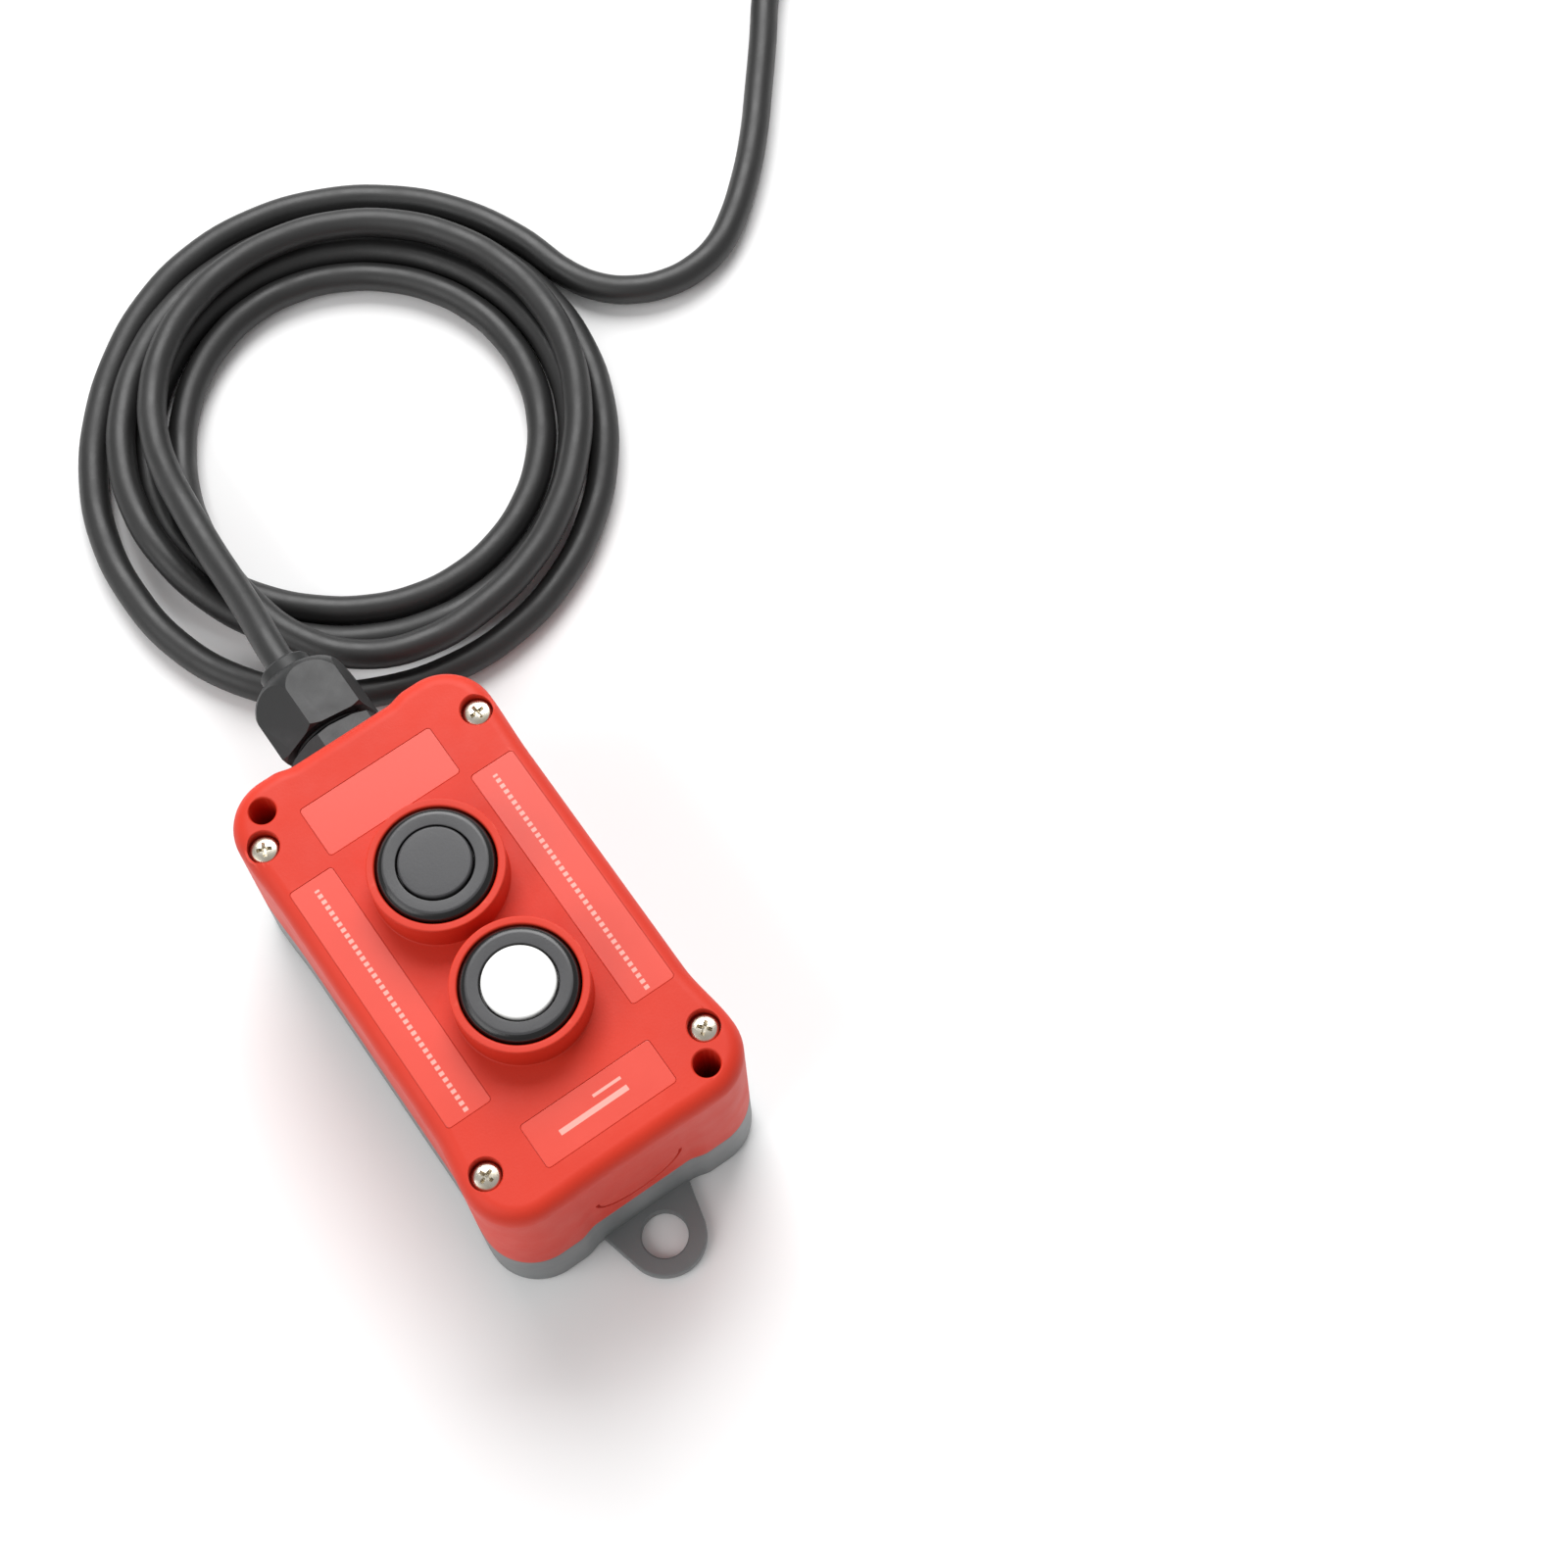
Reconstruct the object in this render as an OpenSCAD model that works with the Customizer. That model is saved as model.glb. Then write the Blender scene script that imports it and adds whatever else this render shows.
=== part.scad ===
// Two-button pendant control station: a red front cover and a grey base with a hanging lug, a cable gland
// at the upper end, two spring-return push buttons that each close a contact block, and a coiled cable
// that ends in a moulded plug. Millimetres, +Z out of the cover's face, +Y towards the gland.

/* [Case] */
// Width across the straight sides
case_w = 63.6; // [60:0.1:84]
// Width across the corner pillars at the gland end
shoulder_w = 64.6; // [60:0.1:84]
// Width across the corner pillars at the lug end
foot_w = 67; // [60:0.1:84]
// Length over the corner pillars
case_l = 116.8; // [112:0.1:150]
// Depth of the recess in the middle of each end wall
end_recess = 1; // [0:0.1:3]
// Height of the cover's face above the back
case_h = 56; // [54:0.5:76]
// Height of the base shell
base_h = 18; // [16:0.5:20]
// Wall thickness of both shells
wall = 2.6; // [2:0.1:3]
// Thickness of the cover's face
face_t = 3; // [2:0.1:4]
// Thickness of the base's floor
floor_t = 3; // [2:0.1:4]
// Radius of the case's corners
corner_r = 12; // [9:0.5:14]
// Rounding of the cover's front edge
face_r = 4; // [1:0.5:5]
// Bevel round the base's back edge
back_bevel = 1; // [0.2:0.1:1.5]

/* [Lug] */
// Radius of the hole in the hanging lug
lug_hole_r = 5.25; // [3:0.05:6.5]
// Outer radius of the hanging lug
lug_r = 9.4; // [8:0.1:12]
// Distance from the end wall to the lug's hole
lug_reach = 7.2; // [6:0.1:14]
// Width of the lug where it meets the end wall
lug_root_w = 22.8; // [18:0.1:26]
// Thickness of the lug
lug_t = 3; // [2:0.1:5]

/* [Fasteners] */
// Spacing of the cover screws across the case
screw_pitch_x = 55; // [50:0.1:56]
// Spacing of the cover screws along the case
screw_pitch_y = 88.2; // [80:0.1:96]
// Diameter of the cover screws
screw_d = 3.5; // [3:0.5:4]
// Diameter of the cover screws' heads
screw_head_d = 6.4; // [5.5:0.1:7]
// Depth of the cover screws' heads below the face
screw_sink = 1.6; // [0.5:0.1:3]
// Radial clearance round a screw's head
head_gap = 0.4; // [0.2:0.1:0.6]
// Radial clearance round a screw's shank
shank_gap = 0.25; // [0.1:0.05:0.5]
// Radius of the two wall-mounting holes
wall_hole_r = 3; // [2:0.1:3.2]
// Distance of the wall-mounting holes from the middle, across the case
wall_hole_x = 23.3; // [22:0.1:24]
// Distance of the wall-mounting holes from the middle, along the case
wall_hole_y = 51.2; // [50:0.1:52]

/* [Buttons] */
// Spacing of the two buttons along the case
button_pitch = 32.4; // [32:0.1:39]
// Distance of the pair's middle from the case's middle, towards the lug
button_shift = 0.5; // [0:0.1:3]
// Outer radius of the collar round each button
collar_r = 15; // [14.5:0.1:15.8]
// Height of the collar above the face
collar_h = 9.2; // [7:0.1:11]
// Radius of the button's threaded barrel
barrel_r = 10.9; // [10.9:0.05:11.1]
// Radius of the bezel ring
bezel_r = 12.8; // [12.6:0.1:13]
// Height of the bezel ring's top above the face
bezel_top = 10.4; // [9:0.1:12]
// Radius of the push cap
cap_r = 8; // [7:0.05:8.2]
// Height of the push cap's top above the face
cap_top = 11.1; // [10:0.1:12]
// Travel of the push cap
travel = 3.8; // [2.5:0.1:4]
// Radius of the push cap's stem
stem_r = 3; // [2.5:0.1:3.4]
// Radial clearance of every sliding fit
slide_gap = 0.08; // [0.02:0.01:0.1]
// Radial clearance round the cap and between the bezel and its collar
cap_gap = 0.35; // [0.3:0.05:0.5]

/* [Contact blocks] */
// Length of a contact block's housing across the case
block_w = 26; // [24:0.5:28]
// Width of a contact block's housing along the case
block_l = 20; // [16:0.5:22]
// Height of a contact block's housing
block_h = 18; // [17:0.5:19]
// Width over a contact block's terminal tray
tray_w = 38; // [36:0.5:40]
// Thickness of a terminal strip
strip_t = 0.8; // [0.5:0.1:1]

/* [Cable entry] */
// Height of the cable entry above the back
entry_z = 34; // [32:0.5:36]
// Radius of the gland's thread
gland_thread_r = 8; // [7:0.1:10]
// Width across the flats of the gland's nuts
gland_af = 22; // [20:0.5:24]
// Length of the gland's flange
gland_flange_l = 5.6; // [4:0.1:8]
// Length of the flats on the gland's cap nut
gland_cap_l = 9.6; // [8:0.1:14]
// Length of the gland's dome beyond the flats
gland_dome_l = 11.5; // [6:0.5:12]
// Radius of the round blank marked in the lug end's wall
blank_r = 10.7; // [8:0.1:12]

/* [Cable] */
// Diameter of the cable
cable_d = 7.2; // [7:0.1:7.4]
// Mean radius of the loose coil
coil_r = 55; // [54:0.5:56]
// Width of the loose coil's ring
coil_w = 31; // [26:0.5:34]
// Height of the loose coil
coil_h = 18; // [15:0.5:24]
// Mean radius of the stored coil
store_r = 40; // [39:0.5:42]
// Width of the stored coil's ring
store_w = 15; // [14.6:0.1:16]
// Height of the stored coil
store_h = 15; // [14.6:0.1:16]
// Length of the plug's moulded body
plug_l = 50; // [44:1:60]
// Radius of the plug's moulded body
plug_r = 12; // [11:0.5:12.5]

/* [Hidden] */

$fn = 64;
eps = 0.01;

// Case plan
end_y = case_l/2 - end_recess;
recess_half = 12;
recess_blend = 5;
side_blend_from = 30;
side_blend = 16;
foot_recess_top = 0.15;
arc_steps = 8;
blend_steps = 4;

// The middle of the station's footprint is the origin, so the case sits a little towards the lug
gland_flange_y = end_y + 1.2;
nut_gap = 1.8;
neck_l = 9;
claw_l = 12;
cap_nut_y = gland_flange_y + gland_flange_l + nut_gap;
gland_end = cap_nut_y + gland_cap_l + gland_dome_l;
lug_y = -end_y - lug_reach;
root_depth = 1.6;
lug_gap = 0.02;
case_y = -(gland_end + lug_y - lug_r)/2;
lug_side = atan2(lug_reach, lug_root_w/2) - acos(lug_r/norm([lug_reach, lug_root_w/2]));

// Seams and screws
seam_inset = 0.8;
seam_w = 1.1;
seam_depth = 1.2;
pillar_r = 4.6;
head_t = 2.2;
insert_r = 2.6;
insert_l = 8;
screw_l = case_h - screw_sink - head_t - base_h + 7;

// Labels
side_label = [10.8, 63.2];
side_label_x = 23.2;
top_label = [33.4, 12.8];
bottom_label = [32.4, 11];
bottom_label_y = -45.2;
label_t = 0.3;
label_round = 0.8;

// Heights in a button, from the back of the case
upper_y = button_pitch/2 - button_shift;
lower_y = -button_pitch/2 - button_shift;
top_label_y = max(40.2, upper_y + collar_r + top_label[1]/2 + 0.6);
seal_t = 1;
flange_t = 2;
flange_top = case_h + seal_t + flange_t;
barrel_rim = case_h + 7;
bezel_bore_r = cap_r + cap_gap;
cap_flange_r = barrel_r - 1.3;
cap_flange_t = 2.2;
cap_flange_top = barrel_rim - 0.2;
barrel_bore_r = cap_flange_r + cap_gap;
shelf_top = case_h - 4;
shelf_t = 2;
barrel_end = case_h - 13;
back_nut_t = 4;
back_nut_af = 27;
spring_wire = 0.9;
spring_r = 6;

// Contact block heights
carrier_z = base_h + 1;
carrier_t = 3;
block_z = carrier_z + carrier_t;
tray_h = 4.1;
strip_z = block_z + tray_h;
bridge_z = strip_z + strip_t + travel + 0.1;
bridge_t = 0.8;
block_top = block_z + block_h;
pusher_top = block_top + travel + 0.4;
pusher_r = 2.4;
block_wall = 2;
cavity_w = 17;
cavity_l = 13;
terminal_x = 15.5;
strip_w = 6;
contact_x = 5.2;

// Carrier
carrier_w = 30;
carrier_l = 74;
carrier_screw_y = 32;
carrier_post_r = 4;
carrier_screw_r = 1.5;

// Cable
cable_r = cable_d/2;
core_d = 1.8;
cores_y = end_y - 14;
coil_at = [48.5, 136.5];
store_at = [209, 249];
store_lift = 0.8;
tie_w = 8;
tie_t = 0.8;
plug_angle = 150;
relief_l = 22;
insert_disc_r = plug_r - 2;
insert_t = 4;
pin_r = 1.5;
pin_l = 13;
tail_start = store_at + store_r*[cos(60), sin(60)];
tail_dir = [cos(plug_angle), sin(plug_angle)];
tail_l = 36;
plug_at = tail_start + tail_l*tail_dir;
tail_z = store_lift + store_h - cable_r - 0.6;

// Where the cable lies between the gland and the coil, and between the two coils
lead_route = [
    [0, gland_end + case_y, entry_z], [0.6, 90.5, 32.2], [1.4, 99, 29.5], [2, 108, 26.5],
    [2.6, 121.4, 22.5], [3.8, 136.5, 16]
];
run_route = [
    [111.1, 159.3, cable_r], [114.8, 149, cable_r], [118.5, 139.8, cable_r], [123, 132, cable_r],
    [130, 126.5, cable_r], [139, 125, cable_r], [149, 127.5, cable_r], [159, 133, cable_r],
    [169, 141, cable_r], [178, 150, cable_r], [187, 160.5, cable_r], [196, 171.5, cable_r],
    [205, 183, cable_r], [216, 194.5, cable_r], [228, 206, 4.1], [239.6, 218, 4.4]
];
// Routes of the cores inside the case, from the end of the cable's jacket to their terminals
wire_z = strip_z + strip_t + core_d/2;
wire_x = terminal_x + 2.3;
cores_from = cores_y - 0.1;
common_route = [
    [-2, cores_from, entry_z], [-2, cores_y - 2, entry_z], [-5, cores_y - 6, 33], [-14, cores_y - 9, 31.5], [-21, 27, 30],
    [-23.5, 21, 28.5], [-22, upper_y + 1.4, wire_z], [-wire_x, upper_y + 1.4, wire_z]
];
link_route = [
    [-wire_x, upper_y - 1.4, wire_z], [-22, upper_y - 1.8, wire_z], [-23.5, 8, wire_z],
    [-23.5, -8, wire_z], [-22, lower_y + 0.4, wire_z], [-wire_x, lower_y, wire_z]
];
up_route = [
    [2, cores_from, entry_z], [2, cores_y - 2, entry_z], [5, cores_y - 6, 33], [14, cores_y - 9, 31.5], [21, 27, 30],
    [23.5, 21, 28.5], [22, upper_y, wire_z], [wire_x, upper_y, wire_z]
];
down_route = [
    [0, cores_from, entry_z - 2], [0, cores_y - 2, entry_z - 2], [4, cores_y - 5, 29], [16, cores_y - 7, 27], [25, 28, 26],
    [26.5, 18, 25.5], [26.5, 0, 25.5], [24, -12, 26.5], [21.5, lower_y, wire_z], [wire_x, lower_y, wire_z]
];

// Colours
red = "#e8503a";
grey = "#6e7274";
black = "#2a2a2c";
rubber = "#1c1c1e";
nickel = "#d6d2c8";
brass = "#c9a24a";
ivory = "#e6e0d0";

// ---- Shared shapes ----

function blend(t) = let (u = min(max(t, 0), 1)) u*u*(3 - 2*u);

// One quarter of the case's plan, from the side's middle round the corner to the end wall's middle
function plan_quarter(pillar_half, inset, recess) =
    let (side = case_w/2 - inset, px = pillar_half - inset, py = case_l/2 - inset, end = py - recess,
         r = max(corner_r - inset, 1), cx = px - r, cy = py - r)
    concat(
        [for (i = [0:blend_steps]) let (t = i/blend_steps)
            [side + (px - side)*blend(t), side_blend_from + side_blend*t]],
        [for (i = [0:arc_steps]) let (a = 90*i/arc_steps) [cx + r*cos(a), cy + r*sin(a)]],
        [for (i = [0:blend_steps]) let (t = 1 - i/blend_steps)
            [recess_half + recess_blend*t, end + (py - end)*blend(t)]]
    );

function mirrored(pts, sx, sy) = [for (p = pts) [sx*p[0], sy*p[1]]];
function reversed(pts) = [for (i = [len(pts)-1:-1:0]) pts[i]];

// The whole plan, counterclockwise, moved in from the outer face by inset
function case_plan(inset, foot_recess = end_recess) =
    let (top = plan_quarter(shoulder_w/2, inset, end_recess), foot = plan_quarter(foot_w/2, inset, foot_recess))
    concat(top, reversed(mirrored(top, -1, 1)), mirrored(foot, -1, -1), reversed(mirrored(foot, 1, -1)));

// A closed solid through rings that all have the same number of points
function middle(ring) = [for (k = [0:2]) min([for (p = ring) p[k]])/2 + max([for (p = ring) p[k]])/2];

module loft(rings) {
    n = len(rings[0]);
    k = len(rings);
    polyhedron(
        points = concat([for (ring = rings) each ring], [middle(rings[0]), middle(rings[k-1])]),
        faces = concat(
            [for (i = [0:n-1]) [k*n, i, (i + 1) % n]],
            [for (j = [0:k-2]) for (i = [0:n-1])
                let (i2 = (i + 1) % n) each [
                    [j*n + i, (j+1)*n + i2, j*n + i2],
                    [j*n + i, (j+1)*n + i, (j+1)*n + i2]]],
            [for (i = [0:n-1]) [k*n + 1, (k-1)*n + (i + 1) % n, (k-1)*n + i]]),
        convexity = 4);
}

module case_prism(z0, z1, inset) {
    translate([0, 0, z0])
        linear_extrude(z1 - z0)
            polygon(case_plan(inset));
}

// The case's plan as a solid through a list of [height, inset, recess of the lug end] levels
module case_solid(levels) {
    loft([for (l = levels) [for (p = case_plan(l[1], l[2])) [p[0], p[1], l[0]]]]);
}

module at_case() {
    translate([0, case_y, 0]) children();
}

module at_entry(y) {
    translate([0, y, entry_z]) rotate([-90, 0, 0]) children();
}

module at_screws() {
    for (sx = [-1, 1], sy = [-1, 1])
        translate([sx*screw_pitch_x/2, sy*screw_pitch_y/2, 0]) children();
}

module at_wall_holes() {
    for (s = [-1, 1])
        translate([-s*wall_hole_x, s*wall_hole_y, 0]) children();
}

module ring(r_out, r_in, h) {
    difference() {
        cylinder(r = r_out, h = h);
        translate([0, 0, -1]) cylinder(r = r_in, h = h + 2);
    }
}

// A hexagonal prism by its width across flats
module hex(af, h) {
    cylinder(r = af/sqrt(3), h = h, $fn = 6);
}

module block_at(size, at) {
    translate([at[0] - size[0]/2, at[1] - size[1]/2, at[2]]) cube(size);
}

// Round bar along a list of points: rings of points turned to the mean direction at each point
function unit(v) = v/norm(v);
function heading(pts, i) =
    i == 0 ? unit(pts[1] - pts[0]) :
    i == len(pts) - 1 ? unit(pts[i] - pts[i-1]) :
    unit(unit(pts[i] - pts[i-1]) + unit(pts[i+1] - pts[i]));
function bar_ring(p, d, r, sides) =
    let (u = abs(d[2]) > 0.9 ? unit(cross(d, [1, 0, 0])) : unit(cross([0, 0, 1], d)), v = cross(d, u))
    [for (k = [0:sides-1]) p + r*(cos(360*k/sides)*u + sin(360*k/sides)*v)];

// A point on the smooth curve through p1 and p2, between them by t
function spline(p0, p1, p2, p3, t) =
    0.5*(2*p1 + (p2 - p0)*t + (2*p0 - 5*p1 + 4*p2 - p3)*t*t + (3*p1 - p0 - 3*p2 + p3)*t*t*t);
function smooth_route(pts, per) =
    let (n = len(pts))
    concat(
        [for (i = [0:n-2]) for (k = [0:per-1])
            spline(pts[max(i-1, 0)], pts[i], pts[i+1], pts[min(i+2, n-1)], k/per)],
        [pts[n-1]]);

module bar(route, r, sides, per = 1) {
    pts = smooth_route(route, per);
    loft([for (i = [0:len(pts)-1]) bar_ring(pts[i], heading(pts, i), r, sides)]);
}

// An open coil spring that stands on z = 0
module coil_spring(r, wire, h, turns) {
    steps = turns*10;
    pts = [for (i = [0:steps]) [
        r*cos(360*turns*i/steps), r*sin(360*turns*i/steps), wire/2 + (h - wire)*i/steps]];
    loft([for (i = [0:steps]) bar_ring(pts[i], heading(pts, i), wire/2, 6)]);
}

// ---- Case ----

// Front cover: rounded face, two collars, screw pillars and wall-hole tubes
module cover() {
    color(red) at_case() difference() {
        union() {
            difference() {
                case_solid(concat(
                    [[base_h, 0, end_recess]],
                    [for (i = [0:4]) let (a = 90*i/4)
                        [case_h - face_r + face_r*sin(a), face_r*(1 - cos(a)), foot_recess_top]]));
                case_prism(base_h - 1, case_h - face_t, wall);
            }
            intersection() {
                union() {
                    at_screws() cylinder(r = pillar_r, h = case_h - 1);
                    at_wall_holes() cylinder(r = pillar_r, h = case_h - 1);
                }
                case_prism(base_h, case_h - 1, wall - 0.2);
            }
            for (y = [upper_y, lower_y])
                translate([0, y, case_h - 1]) cylinder(r = collar_r, h = collar_h + 1);
        }
        at_screws() {
            translate([0, 0, base_h - 1]) cylinder(r = screw_d/2 + shank_gap, h = case_h);
            translate([0, 0, case_h - screw_sink - head_t])
                cylinder(r = screw_head_d/2 + head_gap, h = case_h);
        }
        at_wall_holes() translate([0, 0, base_h - 1]) cylinder(r = wall_hole_r, h = case_h);
        for (y = [upper_y, lower_y]) translate([0, y, 0]) {
            translate([0, 0, case_h - face_t - 1]) cylinder(r = barrel_r + 0.2, h = face_t + 2);
            translate([0, 0, case_h]) cylinder(r = bezel_r + cap_gap, h = collar_h + 1);
        }
        label_places();
        at_entry(end_y - wall - 2) cylinder(r = gland_thread_r + 0.15, h = wall + 4);
        blank_groove();
    }
}

// The lower half of the groove that marks the round blank in the lug end's wall
module blank_groove() {
    groove_w = 0.9;
    groove_depth = 0.7;
    translate([0, -end_y + groove_depth, entry_z]) rotate([90, 0, 0])
        rotate([0, 0, 180])
            rotate_extrude(angle = 180)
                translate([blank_r - groove_w/2, 0]) square([groove_w, groove_depth + 1]);
}

module label_plate(size) {
    linear_extrude(label_t)
        polygon([for (q = [[1, 1, 0], [-1, 1, 90], [-1, -1, 180], [1, -1, 270]]) for (a = [0:30:90])
            [q[0]*(size[0]/2 - label_round) + label_round*cos(q[2] + a),
             q[1]*(size[1]/2 - label_round) + label_round*sin(q[2] + a)]]);
}

module label_places() {
    for (sx = [-1, 1]) translate([sx*side_label_x, 0, case_h - label_t]) label_plate(side_label + [0.2, 0.2]);
    translate([0, top_label_y, case_h - label_t]) label_plate(top_label + [0.2, 0.2]);
    translate([0, bottom_label_y, case_h - label_t]) label_plate(bottom_label + [0.2, 0.2]);
}

module case_label(size, x, y) {
    color("#f06450") at_case() translate([x, y, case_h - label_t]) label_plate(size);
}

// Back shell with the insert pillars, the wall-hole tubes and the carrier's posts
module base() {
    color(grey) at_case() difference() {
        union() {
            difference() {
                case_solid([[0, back_bevel, end_recess], [back_bevel, 0, end_recess], [base_h, 0, end_recess]]);
                case_prism(floor_t, base_h + 1, wall);
            }
            intersection() {
                union() {
                    at_screws() cylinder(r = pillar_r, h = base_h);
                    at_wall_holes() cylinder(r = pillar_r, h = base_h);
                }
                case_prism(1, base_h, wall - 0.2);
            }
            for (s = [-1, 1]) translate([0, s*carrier_screw_y, floor_t - 1])
                cylinder(r = carrier_post_r, h = carrier_z - floor_t + 1);
        }
        difference() {
            case_prism(base_h - seam_depth, base_h + 1, seam_inset);
            case_prism(base_h - seam_depth - 1, base_h + 2, seam_inset + seam_w);
        }
        at_screws() {
            translate([0, 0, base_h - insert_l - 1]) cylinder(r = insert_r, h = insert_l + 2);
            translate([0, 0, base_h - insert_l - 3]) cylinder(r = screw_d/2, h = 3);
        }
        at_wall_holes() translate([0, 0, -1]) cylinder(r = wall_hole_r, h = base_h + 2);
        lug_plate(lug_t + lug_gap, 0);
        for (s = [-1, 1]) translate([0, s*carrier_screw_y, carrier_z - 10])
            cylinder(r = carrier_screw_r, h = 11);
    }
}

// The lug's plate: a round eye and a foot let into the base's end wall by root_depth
module lug_plate(h, gap) {
    linear_extrude(h) polygon([
        [lug_r*cos(lug_side), lug_y + lug_r*sin(lug_side)], [lug_root_w/2, -end_y],
        [lug_root_w/2 - gap, root_depth - gap - end_y], [gap - lug_root_w/2, root_depth - gap - end_y],
        [-lug_root_w/2, -end_y], [-lug_r*cos(lug_side), lug_y + lug_r*sin(lug_side)]
    ]);
}

module hanging_lug() {
    color(grey) at_case() difference() {
        union() {
            lug_plate(lug_t, lug_gap);
            translate([0, lug_y, 0]) cylinder(r = lug_r, h = lug_t);
        }
        translate([0, lug_y, -1]) cylinder(r = lug_hole_r, h = lug_t + 2);
    }
}

// Rubber seal in the base's rim
module cover_gasket() {
    color(rubber) at_case() difference() {
        case_prism(base_h - seam_depth, base_h, seam_inset);
        case_prism(base_h - seam_depth - 1, base_h + 1, seam_inset + seam_w);
    }
}

// Four pan-head screws with cross recesses
module cover_screws() {
    color(nickel) at_case() at_screws() translate([0, 0, case_h - screw_sink]) difference() {
        union() {
            translate([0, 0, -head_t]) cylinder(r = screw_head_d/2, h = head_t - 0.6);
            translate([0, 0, -0.6]) cylinder(r1 = screw_head_d/2, r2 = screw_head_d/2 - 0.7, h = 0.6);
            translate([0, 0, -head_t - screw_l]) cylinder(r = screw_d/2, h = screw_l + eps);
        }
        for (a = [45, 135]) rotate([0, 0, a]) block_at([3.4, 0.8, 2], [0, 0, -1.3]);
    }
}

// Four brass inserts pressed into the base's pillars
module base_inserts() {
    color(brass) at_case() at_screws() translate([0, 0, base_h - insert_l - 1])
        ring(insert_r, screw_d/2, insert_l);
}

// ---- Cable gland ----

module gland_body() {
    color(black) at_case() difference() {
        union() {
            at_entry(gland_flange_y) rotate([0, 0, 15]) hex(gland_af, gland_flange_l);
            at_entry(end_y - wall - 8) cylinder(r = gland_thread_r, h = gland_flange_y - end_y + wall + 9);
            at_entry(gland_flange_y) cylinder(r = gland_af/2 - 1.6, h = gland_flange_l + neck_l);
        }
        at_entry(end_y - wall - 9) cylinder(r = cable_r + 1.4, h = 40);
        at_entry(gland_flange_y + gland_flange_l) cylinder(r = gland_af/2 - 3.2, h = 20);
    }
}

// Flat rubber washer between the flange and the case
module gland_washer() {
    color(rubber) at_case() at_entry(end_y) ring(gland_thread_r + 2, gland_thread_r, gland_flange_y - end_y);
}

module gland_lock_nut() {
    color(black) at_case() at_entry(end_y - wall - 5) difference() {
        hex(gland_af, 5);
        translate([0, 0, -1]) cylinder(r = gland_thread_r, h = 7);
    }
}

// Rubber bush squeezed on to the cable
module gland_seal() {
    color(rubber) at_case() at_entry(gland_flange_y + gland_flange_l) ring(gland_af/2 - 4.6, cable_r, 8.6);
}

// Slotted cage round the rubber bush
module gland_claw() {
    claw_r = gland_af/2 - 3.2;
    color(black) at_case() at_entry(gland_flange_y + gland_flange_l) difference() {
        cylinder(r = claw_r, h = claw_l);
        translate([0, 0, -1]) cylinder(r = gland_af/2 - 4.6, h = 14);
        for (a = [0:45:135]) rotate([0, 0, a]) block_at([2*claw_r + 2, 0.8, 10], [0, 0, 3.5]);
    }
}

// Domed cap nut with hexagonal flats
module gland_cap() {
    dome_r = gland_af/2 - 0.3;
    exit_r = cable_r + 0.5;
    color(black) at_case() at_entry(cap_nut_y) difference() {
        union() {
            rotate([0, 0, 15]) hex(gland_af, gland_cap_l);
            translate([0, 0, gland_cap_l]) rotate_extrude() polygon(concat(
                [[0, 0]],
                [for (a = [0:15:75]) [exit_r + 1.6 + (dome_r - exit_r - 1.6)*cos(a), gland_dome_l*sin(a)]],
                [[exit_r + 1.6, gland_dome_l], [0, gland_dome_l]]));
        }
        translate([0, 0, -1]) cylinder(r = gland_af/2 - 1.6, h = neck_l - nut_gap + 1.3);
        translate([0, 0, -1]) cylinder(r = gland_af/2 - 3.2, h = claw_l - nut_gap + 1.3);
        translate([0, 0, -1]) cylinder(r = exit_r, h = gland_cap_l + gland_dome_l + 2);
    }
}

// ---- Buttons, each in the frame of its own centre ----

module at_button(y) {
    at_case() translate([0, y, 0]) children();
}

// Round-shouldered ring screwed on to the barrel
module bezel(y) {
    shoulder = 2;
    top = case_h + bezel_top;
    color(black) at_button(y) rotate_extrude() polygon(concat(
        [[barrel_r, flange_top], [bezel_r, flange_top]],
        [for (a = [0:15:90]) [bezel_r - shoulder + shoulder*cos(a), top - shoulder + shoulder*sin(a)]],
        [[bezel_bore_r, top - 0.4], [bezel_bore_r, barrel_rim], [barrel_r, barrel_rim]]));
}

// Threaded barrel with a flange outside and a shelf for the spring inside
module barrel(y) {
    color(black) at_button(y) rotate_extrude() polygon([
        [stem_r + slide_gap, shelf_top - shelf_t], [barrel_bore_r, shelf_top - shelf_t],
        [barrel_bore_r, barrel_end], [barrel_r, barrel_end], [barrel_r, case_h + seal_t],
        [bezel_r - 0.2, case_h + seal_t], [bezel_r - 0.2, flange_top], [barrel_r, flange_top],
        [barrel_r, barrel_rim], [barrel_bore_r, barrel_rim], [barrel_bore_r, shelf_top],
        [stem_r + slide_gap, shelf_top]]);
}

module panel_seal(y) {
    color(rubber) at_button(y) translate([0, 0, case_h]) ring(bezel_r - 0.2, barrel_r, seal_t);
}

module back_nut(y) {
    color(black) at_button(y) translate([0, 0, case_h - face_t - back_nut_t]) difference() {
        rotate([0, 0, 30]) hex(back_nut_af, back_nut_t);
        translate([0, 0, -1]) cylinder(r = barrel_r, h = back_nut_t + 2);
    }
}

// Push cap: a plain disc with a retaining flange under the bezel's lip
module push_cap(y, tint) {
    edge = 0.5;
    top = case_h + cap_top;
    color(tint) at_button(y) rotate_extrude() polygon([
        [stem_r, cap_flange_top - cap_flange_t], [cap_flange_r, cap_flange_top - cap_flange_t],
        [cap_flange_r, cap_flange_top], [cap_r, cap_flange_top], [cap_r, top - edge],
        [cap_r - edge, top], [0, top], [0, top - 2.4], [stem_r, top - 2.4]]);
}

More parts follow.
